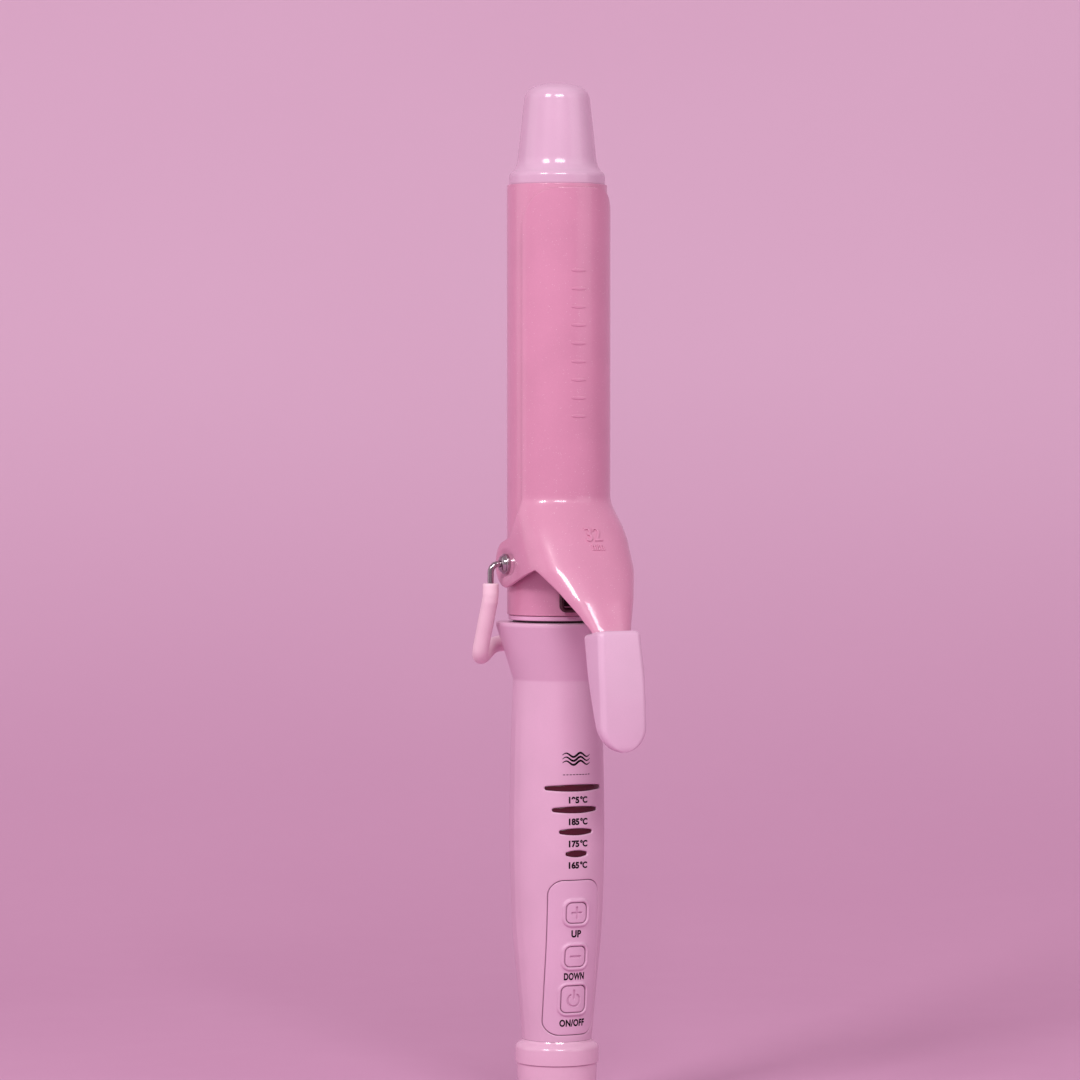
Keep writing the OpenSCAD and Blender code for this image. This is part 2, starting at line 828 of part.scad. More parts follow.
// The outer skin of the grip's front, from depth below the surface to proud above it
module front_skin(z0, z1, depth, proud) {
    rotate([0, 0, 180])
        rotate_extrude(angle = 180)
            polygon(concat(
                grip_line(z0, z1, depth),
                reversed(grip_line(z0, z1, -proud))
            ));
}

panel_z0 = 27.7;
panel_z1 = 77.2;
panel_t = 1.2;
panel_corner = 4.6;
// Each button: [height, width, height of its face, bezel width, bezel height]
up_key = [66.9, 6.9, 6.5, 9, 9.9];
down_key = [52.9, 6.9, 6.5, 9, 9.9];
power_key = [39.2, 8.2, 8.6, 9.9, 11.4];
keys = [up_key, down_key, power_key];
key_corner = 1.8;
key_proud = 0.35;
bezel_proud = 0.7;
board_front = -3.6;
board_t = 1.6;
switch_h = 2.5;
switch_floor = board_front - 0.2;
plunger_front = -7.4;
screw_zs = [79.5, 122];
// Each window: [height, half angle around the grip]
windows = [[106.6, 40.8], [99.7, 31.3], [92.7, 22.5], [85.7, 14.5]];
window_mid = 1.05;
window_end = 0.45;

// The lens-shaped outline of a window: two shallow arcs, cut off where it is twice window_end high
module window_prism(w, y0, y1) {
    half = grip(w[0]) * sin(w[1]);
    rise = window_mid - window_end;
    r = (half ^ 2 + rise ^ 2) / (2 * rise);
    intersection() {
        translate([0, 0, w[0] - r + window_mid])
            along_y(y0, y1, r, $fn = 720);
        translate([0, 0, w[0] + r - window_mid])
            along_y(y0, y1, r, $fn = 720);
        translate([-half, y0, w[0] - 2])
            cube([2 * half, y1 - y0, 4]);
    }
}

module panel_outline(grow) {
    rounded_rect(panel_w + 2 * grow, panel_z1 - panel_z0 + 2 * grow, panel_corner + grow);
}

module handle_front() {
    color("pink")
    difference() {
        union() {
            rotate([0, 0, 180])
                half_shell();
            for (z = screw_zs)
                translate([0, 0, z]) {
                    along_y(-grip(z) + 1.4, -0.5, 3);
                    along_y(-grip(z) + 1.4, board_front, 4.2);
                }
        }
        intersection() {
            front_skin(panel_z0 - 1, panel_z1 + 1, panel_t + 0.02, 2);
            facing((panel_z0 + panel_z1) / 2, -20, 0)
                panel_outline(gap);
        }
        for (k = keys)
            facing(k[0], -20, -6)
                rounded_rect(k[1] + 2 * gap, k[2] + 2 * gap, key_corner);
        for (w = windows)
            window_prism(w, -20, -8);
        for (z = screw_zs)
            translate([0, 0, z])
                along_y(-grip(z) + 4, 0, 1.25);
    }
}

module handle_back() {
    color("pink")
    difference() {
        union() {
            half_shell();
            for (z = screw_zs)
                translate([0, 0, z])
                    along_y(0.1, grip(z) - 1.2, 3.6);
        }
        for (z = screw_zs)
            translate([0, 0, z]) {
                along_y(-1, 20, 1.4);
                along_y(6, 20, 2.75);
            }
    }
}

module shell_screws() {
    color("silver")
    for (z = screw_zs)
        translate([0, 0, z]) {
            along_y(6, 8, 2.5);
            along_y(-8, 6.5, 1.25);
        }
}

module window_piece(w) {
    color("maroon")
    intersection() {
        front_skin(w[0] - 2, w[0] + 2, shell_wall, 0);
        window_prism(w, -20, -1);
    }
}
module window_195() {
    window_piece(windows[0]);
}
module window_185() {
    window_piece(windows[1]);
}
module window_175() {
    window_piece(windows[2]);
}
module window_165() {
    window_piece(windows[3]);
}

module control_panel() {
    color("pink")
    difference() {
        union() {
            intersection() {
                front_skin(panel_z0 - 1, panel_z1 + 1, panel_t, 0);
                facing((panel_z0 + panel_z1) / 2, -20, 0)
                    panel_outline(0);
            }
            for (k = keys)
                intersection() {
                    front_skin(k[0] - 7, k[0] + 7, panel_t / 2, bezel_proud);
                    facing(k[0], -20, 0)
                        rounded_rect(k[3], k[4], key_corner + 0.9);
                }
        }
        for (k = keys)
            facing(k[0], -20, -6)
                rounded_rect(k[1] + 2 * gap, k[2] + 2 * gap, key_corner);
    }
}

// A button: a crowned key, a flange that keeps it behind the shell and a stem
module button(k) {
    z0 = k[0] - k[2] / 2;
    flange_w = k[1] + 1;
    flange_h = k[2] + 1;
    inner_r = grip(k[0] - flange_h / 2) - shell_wall;
    flange_y = -sqrt(inner_r ^ 2 - (flange_w / 2) ^ 2) + 0.25;
    intersection() {
        facing(k[0], -20, flange_y + eps)
            rounded_rect(k[1], k[2], key_corner - gap);
        translate([0, 0, z0])
            cylinder(h = k[2], r1 = grip(z0) + key_proud, r2 = grip(z0 + k[2]) + key_proud);
    }
    facing(k[0], flange_y, flange_y + 0.8)
        rounded_rect(flange_w, flange_h, key_corner);
    translate([0, 0, k[0]])
        along_y(flange_y, plunger_front, 1.6);
}
module up_button() {
    color("hotpink")
        button(up_key);
}
module down_button() {
    color("hotpink")
        button(down_key);
}
module power_button() {
    color("hotpink")
        button(power_key);
}

// The part of a switch that moves with the button
module plunger(k) {
    color("black")
    translate([0, 0, k[0]])
        along_y(plunger_front, switch_floor - button_travel - 0.3, 1.75);
}
module up_plunger() {
    plunger(up_key);
}
module down_plunger() {
    plunger(down_key);
}
module power_plunger() {
    plunger(power_key);
}

module tact_switches() {
    side = 6;
    color("gray")
    for (k = keys)
        difference() {
            translate([-side / 2, board_front - switch_h, k[0] - side / 2])
                cube([side, switch_h, side]);
            translate([0, 0, k[0]])
                along_y(board_front - switch_h - 1, switch_floor, 1.75 + run);
        }
}

board_z0 = 36.5;
board_z1 = 112;
module control_board() {
    color("darkgreen")
    difference() {
        translate([-7, board_front, board_z0])
            cube([14, board_t, board_z1 - board_z0]);
        translate([0, 0, screw_zs[0]])
            along_y(board_front - 1, 0, 3 + run);
    }
}

module board_components() {
    y = board_front + board_t;
    color("darkslategray") {
        translate([-5.5, y, 87])
            cube([11, 6, 13]);
        translate([-6, y, 54])
            cube([12, 8, 15]);
        translate([-5, y, 42])
            cube([10, 4.5, 9]);
        translate([0, y, 105])
            along_y(0, 5, 2.6);
    }
}

module indicator_leds() {
    color("orange")
    for (w = windows)
        translate([-1.6, board_front - 0.8, w[0] - 0.8])
            cube([3.2, 0.8, 1.6]);
}

// ---------- swivel ----------

stem_r = 4.5;
stem_top = 36.2;
skirt_z = 17.6;
skirt_r = 12.9;
clip_z = 28.9;
clip_t = 0.9;
groove_r = 3.8;
module swivel_collar() {
    color("pink")
    rotate_extrude()
        polygon([
            [stem_r + run, skirt_z + 0.3], [13.4, skirt_z + 0.3], [13.4, 22.5], [12.6, 24],
            [grip_end_r + 0.1, grip_z0 - run], [8.45, grip_z0 - run], [8.45, grip_z0 + 2 + run],
            [9, grip_z0 + 2 + run], [9, clip_z - 0.2], [stem_r + run, clip_z - 0.2]
        ]);
}

module swivel_end() {
    foot = 11.2;
    round_r = 1.4;
    color("pink")
    difference() {
        union() {
            rotate_extrude()
                polygon(concat(
                    [[0, 0], [foot - round_r, 0]],
                    arc([foot - round_r, round_r], round_r, -90, -10, 5),
                    [[12.5, 9], [skirt_r, skirt_z - 0.4], [skirt_r - 0.4, skirt_z], [0, skirt_z]]
                ));
            translate([0, 0, skirt_z - eps])
                cylinder(h = stem_top - skirt_z + eps, r = stem_r);
        }
        translate([0, 0, -1])
            cylinder(h = inlet_depth + 1, r = inlet_r);
        translate([0, 0, inlet_depth - 1])
            cylinder(h = stem_top, r = 2.2);
        translate([0, 0, clip_z])
            difference() {
                cylinder(h = clip_t, r = stem_r + 1);
                translate([0, 0, -1])
                    cylinder(h = clip_t + 2, r = groove_r);
            }
    }
}

module swivel_clip() {
    color("silver")
    translate([0, 0, clip_z + run])
        difference() {
            cylinder(h = clip_t - 2 * run, r = 7.4);
            translate([0, 0, -1])
                cylinder(h = clip_t + 2, r = groove_r + run);
            translate([-2, 0, -1])
                cube([4, 10, clip_t + 2]);
        }
}

ring_zs = [31.2, 34];
ring_h = 1.6;
ring_t = 0.7;
module slip_rings() {
    color("goldenrod")
    for (z = ring_zs)
        translate([0, 0, z])
            difference() {
                cylinder(h = ring_h, r = stem_r + ring_t);
                translate([0, 0, -1])
                    cylinder(h = ring_h + 2, r = stem_r);
            }
}

brush_w = 2.4;
holder_y0 = 6;
holder_y1 = 8.2;
module brush_holder() {
    z0 = ring_zs[0] - 0.8;
    color("ivory")
    difference() {
        intersection() {
            translate([-12, holder_y0, z0])
                cube([24, holder_y1 - holder_y0, 6.2]);
            translate([0, 0, z0 - 1])
                cylinder(h = 9, r = grip(z0) - shell_wall);
        }
        for (z = ring_zs)
            translate([-brush_w / 2 - run, holder_y0 - 1, z - run])
                cube([brush_w + 2 * run, 5, ring_h + 2 * run]);
    }
}

module brushes() {
    color("black")
    for (z = ring_zs)
        difference() {
            translate([-brush_w / 2, stem_r, z])
                cube([brush_w, holder_y1 - stem_r, ring_h]);
            translate([0, 0, z - 1])
                cylinder(h = ring_h + 2, r = stem_r + ring_t + run);
        }
}

module brush_springs() {
    color("goldenrod")
    for (z = ring_zs)
        translate([-3, holder_y1, z])
            cube([6, 0.3, ring_h]);
}

cool_tip();
tip_screw();
tip_insulator();
barrel();
heat_spreader_front();
heat_spreader_back();
heater_plate();
spreader_spring();
temperature_sensor();
thermal_fuse();
heater_leads();
barrel_ring();
barrel_seat();
hinge_anchor();
hinge_washers();
hinge_bush_left();
hinge_bush_right();
spring_plate();
spring_pin();
clamp_spring();
clamp();
thumb_cap();
stand_wire();
stand_sleeve();
handle_front();
handle_back();
shell_screws();
window_195();
window_185();
window_175();
window_165();
control_panel();
up_button();
down_button();
power_button();
up_plunger();
down_plunger();
power_plunger();
tact_switches();
control_board();
board_components();
indicator_leds();
swivel_collar();
swivel_end();
swivel_clip();
slip_rings();
brush_holder();
brushes();
brush_springs();
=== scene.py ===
import json
import math

import bmesh
import bpy
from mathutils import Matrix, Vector
from mathutils.geometry import delaunay_2d_cdt


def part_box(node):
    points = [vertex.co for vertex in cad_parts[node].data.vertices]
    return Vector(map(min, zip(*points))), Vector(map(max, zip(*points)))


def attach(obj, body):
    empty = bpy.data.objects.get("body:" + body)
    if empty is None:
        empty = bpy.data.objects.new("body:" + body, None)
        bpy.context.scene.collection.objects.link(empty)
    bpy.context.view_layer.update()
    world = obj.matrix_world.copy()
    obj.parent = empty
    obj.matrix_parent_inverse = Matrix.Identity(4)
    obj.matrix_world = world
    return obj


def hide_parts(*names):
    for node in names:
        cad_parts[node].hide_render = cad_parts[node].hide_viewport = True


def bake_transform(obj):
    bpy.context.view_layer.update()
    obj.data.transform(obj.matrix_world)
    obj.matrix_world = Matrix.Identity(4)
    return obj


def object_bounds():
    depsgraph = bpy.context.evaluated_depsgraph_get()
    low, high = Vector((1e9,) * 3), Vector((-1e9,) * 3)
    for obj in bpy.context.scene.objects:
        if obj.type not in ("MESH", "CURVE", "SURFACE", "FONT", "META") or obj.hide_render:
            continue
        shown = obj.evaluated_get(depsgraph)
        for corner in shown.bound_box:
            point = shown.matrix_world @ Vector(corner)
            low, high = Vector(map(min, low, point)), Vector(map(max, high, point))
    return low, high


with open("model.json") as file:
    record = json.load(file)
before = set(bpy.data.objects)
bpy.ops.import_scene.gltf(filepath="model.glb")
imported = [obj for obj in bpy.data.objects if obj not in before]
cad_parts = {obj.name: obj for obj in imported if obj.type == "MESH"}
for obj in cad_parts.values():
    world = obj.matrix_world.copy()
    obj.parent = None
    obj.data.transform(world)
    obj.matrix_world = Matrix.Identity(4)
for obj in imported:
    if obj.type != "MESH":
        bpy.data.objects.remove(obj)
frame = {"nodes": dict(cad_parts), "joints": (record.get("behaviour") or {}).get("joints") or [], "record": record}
cad_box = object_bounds()

# Lengths below are in millimetres, in the CAD's own frame; MM turns them into metres.
MM = 0.001
PIVOT_Z = frame["joints"][0]["pos_m"][2] / MM
TOP_Z = cad_box[1].z / MM


def box_mm(node):
    lo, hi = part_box(node)
    return lo / MM, hi / MM


# ---------------------------------------------------------------- curves


# the corners of a rounded rectangle: their signs, and the angle (degrees) where each one's arc starts
QUARTERS = ((1, 1, 0), (-1, 1, 90), (-1, -1, 180), (1, -1, 270))


def clamp01(t):
    return max(0.0, min(1.0, t))


def smooth(lo, hi, x):
    t = clamp01((x - lo) / (hi - lo))
    return t * t * (3 - 2 * t)


def spaced(a, b, n):
    """n + 1 evenly spaced values from a to b."""
    return [a + (b - a) * i / n for i in range(n + 1)]


def knot_curve(knots, x):
    """The smooth curve through the knots (x, value), the same as the CAD's."""
    i = 0
    while i < len(knots) - 2 and x > knots[i + 1][0]:
        i += 1

    def slope(k):
        a, b = knots[max(k - 1, 0)], knots[min(k + 1, len(knots) - 1)]
        return (b[1] - a[1]) / (b[0] - a[0])

    (x0, y0), (x1, y1) = knots[i], knots[i + 1]
    h = x1 - x0
    t = (x - x0) / h
    m0, m1 = slope(i) * h, slope(i + 1) * h
    from_start = (2 * t**3 - 3 * t**2 + 1) * y0 + (t**3 - 2 * t**2 + t) * m0
    return from_start + (3 * t**2 - 2 * t**3) * y1 + (t**3 - t**2) * m1


def bend(a, b, c, n):
    """A quadratic curve from a to c, pulled towards b."""
    a, b, c = Vector(a), Vector(b), Vector(c)
    return [(1 - t) ** 2 * a + 2 * t * (1 - t) * b + t * t * c for t in spaced(0, 1, n)]


def corner(a, b, c, radius, steps, share=None):
    """The arc that rounds the corner b of the path a, b, c. It takes up at most the given share of each side."""
    a, b, c = Vector(a), Vector(b), Vector(c)
    u, v = (a - b).normalized(), (c - b).normalized()
    half = math.acos(max(-1, min(1, u.dot(v)))) / 2
    reach = radius / math.tan(half)
    if share:
        reach = min(reach, (a - b).length * share, (c - b).length * share)
        radius = reach * math.tan(half)
    centre = b + (u + v).normalized() * radius / math.sin(half)
    p, q = b + u * reach - centre, b + v * reach - centre
    turn = math.pi - 2 * half
    return [
        centre + (p * math.sin(turn * (1 - t)) + q * math.sin(turn * t)) / math.sin(turn) for t in spaced(0, 1, steps)
    ]


def fillet(points, steps=6):
    """An open outline of (r, z, fillet radius): each inner corner becomes an arc of its radius."""
    spots = [Vector(p[:2]) for p in points]
    out = [spots[0]]
    for a, b, c, (_, _, radius) in zip(spots, spots[1:], spots[2:], points[1:]):
        out += corner(a, b, c, radius, steps, 0.49) if radius > 0 else [b]
    return out + [spots[-1]]


# ---------------------------------------------------------------- meshes


def make(name, part, finish, body, sharp, replaces=()):
    """A mesh piece from points in millimetres, smooth except at edges sharper than the angle given."""
    verts, faces = part
    mesh = bpy.data.meshes.new(name)
    mesh.from_pydata([Vector(v) * MM for v in verts], [], faces)
    bm = bmesh.new()
    bm.from_mesh(mesh)
    bmesh.ops.remove_doubles(bm, verts=bm.verts, dist=2e-7)
    bmesh.ops.dissolve_degenerate(bm, edges=bm.edges, dist=1e-8)
    bmesh.ops.recalc_face_normals(bm, faces=bm.faces)
    bm.to_mesh(mesh)
    bm.free()
    mesh.shade_smooth()
    mesh.set_sharp_from_angle(angle=math.radians(sharp))
    mesh.materials.append(MAT[finish])
    piece = bpy.data.objects.new(name, mesh)
    bpy.context.scene.collection.objects.link(piece)
    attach(piece, body)
    if replaces:
        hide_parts(*replaces)
    return piece


def revolve(profile, closed=True, steps=144, start=0.0, sweep=360.0):
    """Points and quads of an outline of (r, z) turned round the Z axis."""
    full = sweep >= 360
    count = steps if full else steps + 1
    verts, faces = [], []
    for i in range(count):
        w = math.radians(start + sweep * i / steps)
        verts += [(r * math.sin(w), -r * math.cos(w), z) for r, z in profile]
    n = len(profile)
    last = n if closed else n - 1
    for i in range(steps):
        a, b = i * n, ((i + 1) % count) * n
        for j in range(last):
            k = (j + 1) % n
            quad = [a + j, a + k, b + k, b + j]
            if profile[j][0] < 1e-9:
                quad = [a + j, a + k, b + k]
            elif profile[k][0] < 1e-9:
                quad = [a + j, a + k, b + j]
            if profile[j][0] < 1e-9 and profile[k][0] < 1e-9:
                continue
            faces.append(quad)
    return verts, faces


def loft(rings, caps=True):
    """Points and quads through closed rings that all have the same number of points."""
    n = len(rings[0])
    verts = [p for ring in rings for p in ring]
    faces = [
        [i * n + j, (i + 1) * n + j, (i + 1) * n + (j + 1) % n, i * n + (j + 1) % n]
        for i in range(len(rings) - 1)
        for j in range(n)
    ]
    if caps:
        faces.append(list(range(n)))
        faces.append(list(range((len(rings) - 1) * n, len(rings) * n))[::-1])
    return verts, faces


def tube_rings(path, radii, sides, first):
    """Rings of the given radii along a path, turning as little as possible. radii may be one number."""
    rings = []
    normal = Vector(first)
    for i, p in enumerate(path):
        before, after = path[max(i - 1, 0)], path[min(i + 1, len(path) - 1)]
        tangent = (after - before).normalized()
        normal = (normal - normal.dot(tangent) * tangent).normalized()
        other = tangent.cross(normal)
        r = radii[i] if isinstance(radii, list) else radii
        rings.append(
            [
                p + r * (math.cos(2 * math.pi * j / sides) * normal + math.sin(2 * math.pi * j / sides) * other)
                for j in range(sides)
            ]
        )
    return rings


def join(*parts):
    verts, faces = [], []
    for v, f in parts:
        base = len(verts)
        verts += list(v)
        faces += [[base + k for k in face] for face in f]
    return verts, faces


def moved(part, move):
    return [move(Vector(v)) for v in part[0]], part[1]


def turned_x(part, side=1):
    """Stands a piece that was turned about Z on its side, so that its axis is the hinge and +Z becomes side * X."""
    return moved(part, lambda v: Vector((side * v.z, v.x, v.y + PIVOT_Z)))


def turned_y(part, z):
    """The same with the axis along Y: +Z becomes +Y, at height z."""
    return moved(part, lambda v: Vector((v.x, v.z, z - v.y)))


# ---------------------------------------------------------------- materials


def feed(tree, socket, value):
    """Links another node's output to the socket, or sets the socket to a value."""
    if isinstance(value, bpy.types.NodeSocket):
        tree.links.new(value, socket)
    else:
        socket.default_value = value


def new_node(tree, kind, **inputs):
    """A shader node with its inputs; a space in an input's name is written as an underscore."""
    node = tree.nodes.new("ShaderNode" + kind)
    for key, value in inputs.items():
        feed(tree, node.inputs[key.replace("_", " ")], value)
    return node


class Nodes:
    """A procedural material that is being built."""

    def __init__(self, name):
        self.material = bpy.data.materials.new(name)
        self.material.use_nodes = True
        self.tree = self.material.node_tree
        self.shader = self.tree.nodes["Principled BSDF"]
        self.place = new_node(self.tree, "TexCoord").outputs["Object"]
        self.bump = None

    def set(self, **inputs):
        for key, value in inputs.items():
            feed(self.tree, self.shader.inputs[key.replace("_", " ")], value)
        return self

    def noise(self, scale, detail=3.0, stretch=None):
        place = self.place
        if stretch:
            place = new_node(self.tree, "Mapping", Scale=stretch, Vector=place).outputs["Vector"]
        return new_node(self.tree, "TexNoise", Scale=scale, Detail=detail, Vector=place).outputs["Fac"]

    def cells(self, scale):
        node = new_node(self.tree, "TexVoronoi", Scale=scale, Vector=self.place)
        return node.outputs["Color"], node.outputs["Distance"]

    def ramp(self, value, lo, hi, out_lo, out_hi, soft=True):
        node = new_node(self.tree, "MapRange", From_Min=lo, From_Max=hi, To_Min=out_lo, To_Max=out_hi, Value=value)
        node.interpolation_type = "SMOOTHSTEP" if soft else "LINEAR"
        return node.outputs["Result"]

    def times(self, a, b):
        node = new_node(self.tree, "Math")
        node.operation = "MULTIPLY"
        feed(self.tree, node.inputs[0], a)
        feed(self.tree, node.inputs[1], b)
        return node.outputs["Value"]

    def mix(self, factor, a, b):
        node = new_node(self.tree, "Mix")
        node.data_type = "RGBA"
        feed(self.tree, node.inputs["Factor"], factor)
        for socket, value in ((node.inputs[6], a), (node.inputs[7], b)):
            feed(self.tree, socket, (*value, 1) if isinstance(value, tuple) else value)
        return node.outputs[2]

    def channel(self, colour):
        return new_node(self.tree, "SeparateColor", Color=colour).outputs

    def relief(self, height, depth, strength=1.0):
        """Bump of the given depth in millimetres, on top of the bumps before it."""
        node = new_node(self.tree, "Bump", Strength=strength, Distance=depth * MM, Height=height)
        if self.bump:
            feed(self.tree, node.inputs["Normal"], self.bump)
        self.bump = node.outputs["Normal"]
        return self

    def done(self):
        if self.bump:
            self.set(Normal=self.bump)
        return self.material


def linear(r, g, b):
    """A colour given as 0-255 on the screen, as the light that it stands for."""
    return tuple(((c / 255 + 0.055) / 1.055) ** 2.4 if c > 10.31 else c / 255 / 12.92 for c in (r, g, b))


def shade(colour, factor):
    return tuple(min(1.0, c * factor) for c in colour)


def moulded(name, colour, rough, coat=0.0, coat_rough=0.1, grain=0.0015):
    """Moulded plastic: a faint drift of colour, a fine grain and a slow waviness from the mould."""
    m = Nodes(name)
    drift = m.noise(38, 2)
    speck = m.noise(2600, 2)
    tone = m.mix(m.ramp(drift, 0.35, 0.65, 0, 1), shade(colour, 0.965), shade(colour, 1.03))
    tone = m.mix(m.ramp(speck, 0.3, 0.7, 0, 0.35), tone, shade(colour, 0.95))
    m.set(Base_Color=tone, Roughness=m.ramp(m.noise(420, 3), 0.3, 0.7, rough - 0.008, rough + 0.012))
    m.relief(m.noise(120, 2), 0.008, 0.25)
    m.relief(speck, grain, 0.5)
    m.set(IOR=1.5, Coat_Weight=coat, Coat_Roughness=coat_rough)
    return m.done()


def enamel(name, colour):
    """Baked pearl enamel: fine glitter under a glossy coat, with a slight orange peel."""
    m = Nodes(name)
    drift = m.ramp(m.noise(60, 3), 0.3, 0.7, 0, 1)
    tone = m.mix(drift, shade(colour, 0.97), shade(colour, 1.03))
    pearl, _ = m.cells(5200)
    pearl = m.channel(pearl)
    tone = m.mix(m.ramp(pearl["Red"], 0.0, 1.0, 0, 0.16, False), tone, shade(colour, 1.25))
    flakes, dot = m.cells(3600)
    flakes = m.channel(flakes)
    spark = m.times(m.ramp(flakes["Red"], 0.95, 0.96, 0, 1), m.ramp(dot, 0.3, 0.42, 0.55, 0))
    glint = m.times(spark, m.ramp(flakes["Green"], 0.3, 1.0, 0.1, 1.0))
    tone = m.mix(glint, tone, (1.0, 0.9, 0.96))
    m.set(Base_Color=tone, Metallic=m.ramp(glint, 0, 1, 0.0, 0.15, False))
    m.set(Roughness=m.ramp(glint, 0, 1, 0.36, 0.24, False))
    m.relief(m.noise(240, 2), 0.012, 0.2)
    m.relief(pearl["Green"], 0.002, 0.3)
    m.set(IOR=1.5, Coat_Weight=0.75, Coat_Roughness=0.09, Coat_IOR=1.5)
    return m.done()


def metal(name, colour, rough, brush=0.0):
    m = Nodes(name)
    wear = m.noise(300, 4)
    m.set(Base_Color=m.mix(m.ramp(wear, 0.35, 0.65, 0, 1), shade(colour, 0.9), colour))
    m.set(Roughness=m.ramp(wear, 0.3, 0.7, rough, rough + 0.06), Metallic=1.0)
    if brush:
        m.relief(m.noise(900, 2, (1, 1, 0.08)), brush, 0.4)
    return m.done()


def plain(name, colour, rough, grain=900, depth=0.01, gloss=0.5):
    """An inner part: its own colour with a fine drift, a matching roughness and a light grain."""
    m = Nodes(name)
    drift = m.noise(grain / 3, 3)
    m.set(Base_Color=m.mix(m.ramp(drift, 0.3, 0.7, 0, 1), shade(colour, 0.86), shade(colour, 1.08)))
    m.set(Roughness=m.ramp(drift, 0.3, 0.7, rough - 0.05, rough + 0.06))
    m.relief(m.noise(grain, 3), depth, 0.4)
    m.set(Specular_IOR_Level=gloss)
    return m.done()


PALE = linear(215, 178, 202)
HANDLE = linear(217, 175, 200)
ROSE = linear(209, 143, 172)
MAT = {
    "tip_plastic": moulded("tip_plastic", PALE, 0.19, coat=0.3, coat_rough=0.12),
    "swivel_plastic": moulded("swivel_plastic", linear(224, 180, 204), 0.17, coat=0.5, coat_rough=0.08),
    "cap_plastic": moulded("cap_plastic", linear(221, 183, 208), 0.26, coat=0.35, coat_rough=0.1),
    "handle_plastic": moulded("handle_plastic", HANDLE, 0.36, coat=0.12, coat_rough=0.2),
    "button_plastic": moulded("button_plastic", linear(219, 176, 203), 0.34, coat=0.1, coat_rough=0.2),
    "ring_plastic": moulded("ring_plastic", linear(228, 176, 208), 0.28, coat=0.2),
    "enamel": enamel("pearl_enamel", ROSE),
    "dark_plastic": moulded("dark_plastic", linear(44, 14, 26), 0.4),
    "silicone": moulded("silicone", linear(242, 208, 221), 0.6, grain=0.004),
    # the chrome's colour is set low as a painted dark reflection, standing in for the dark surroundings that it
    # mirrors
    "chrome": metal("chrome", (0.46, 0.4, 0.43), 0.06, brush=0.001),
    "dark_steel": metal("dark_steel", linear(92, 70, 74), 0.26, brush=0.004),
    # black_steel is near black partly as painted shade: the spring plate stands in for the dark under the clamp
    "black_steel": metal("black_steel", linear(50, 32, 38), 0.34, brush=0.004),
    "ink": plain("ink", linear(14, 6, 12), 0.6, 1600, 0.001, gloss=0.1),
}


def glow_window():
    """Dark red smoked plastic over the lamps: glossy, with a faint random cloud of lighter tone."""
    m = Nodes("window")
    cloud = m.ramp(m.noise(160, 2), 0.3, 0.7, 0, 1)
    m.set(Base_Color=m.mix(cloud, linear(66, 4, 24), linear(70, 5, 26)))
    m.set(Roughness=m.ramp(m.noise(300, 2), 0.3, 0.7, 0.2, 0.22))
    m.relief(m.noise(160, 2), 0.001, 0.2)
    m.set(IOR=1.45)
    return m.done()


MAT["window"] = glow_window()
INNER = {
    "aluminium": metal("aluminium", (0.8, 0.8, 0.82), 0.32, brush=0.006),
    "ceramic": plain("ceramic", linear(232, 222, 204), 0.6),
    "spring_steel": metal("spring_steel", linear(120, 120, 126), 0.25, brush=0.004),
    "washer_plastic": plain("washer_plastic", linear(236, 232, 226), 0.45),
    "sensor": plain("sensor", linear(214, 142, 60), 0.35),
    "fuse_metal": metal("fuse_metal", (0.75, 0.74, 0.72), 0.3),
    "lead_sleeve": plain("lead_sleeve", linear(236, 234, 226), 0.7, 2200, 0.02),
    "board": plain("board", linear(28, 92, 58), 0.4),
    "components": plain("components", linear(34, 36, 42), 0.45),
    "led": plain("led", linear(236, 150, 70), 0.25),
    "switch_metal": metal("switch_metal", (0.7, 0.7, 0.7), 0.3),
    "brass": metal("brass", linear(196, 158, 92), 0.24, brush=0.004),
    "carbon": plain("carbon", linear(30, 30, 32), 0.6),
}
record_slot = {p["node"]: p["material_slot"] for p in frame["record"]["subparts"]}
for node, thing in frame["nodes"].items():
    finish = record_slot[node]
    material = MAT.get(finish) or INNER.get(finish) or INNER["components"]
    thing.data.materials.clear()
    thing.data.materials.append(material)

# ---------------------------------------------------------------- cool tip, barrel, ring and seat

(_, _, BARREL_Z0), (BARREL_R, _, BARREL_Z1) = box_mm("barrel")
BORE_R = BARREL_R - 1.2
RING_Z0 = box_mm("barrel_ring")[0].z
RIM_R = BARREL_R - 0.65


def tip_profile():
    rim = [
        (BORE_R - 0.1, BARREL_Z1 - 5, 0),
        (BORE_R - 0.1, BARREL_Z1 + 0.02, 0),
        (RIM_R - 0.1, BARREL_Z1 + 0.02, 0.1),
        (RIM_R, BARREL_Z1 + 0.4, 0.2),
        (RIM_R, BARREL_Z1 + 2.2, 0),
    ]
    outer = fillet(rim)
    outer += bend((RIM_R, BARREL_Z1 + 2.2), (RIM_R, BARREL_Z1 + 3.3), (14.7, BARREL_Z1 + 3.95), 10)[1:]
    outer += bend((14.7, BARREL_Z1 + 3.95), (12.9, BARREL_Z1 + 5.3), (12.5, BARREL_Z1 + 9), 14)[1:]
    outer += bend((10.56, TOP_Z - 5.6), (10.2, TOP_Z - 2.9), (8.3, TOP_Z - 1.75), 12)
    outer += bend((8.3, TOP_Z - 1.75), (5.2, TOP_Z), (0, TOP_Z), 14)[1:]
    inner = [(0, TOP_Z - 2.4), (8, TOP_Z - 3.6), (10.5, BARREL_Z1 + 9), (12.6, BARREL_Z1 - 5)]
    return outer + [Vector(p) for p in inner]


make("cool_tip_shell", revolve(tip_profile()), "tip_plastic", "wand", 25, ["cool_tip"])

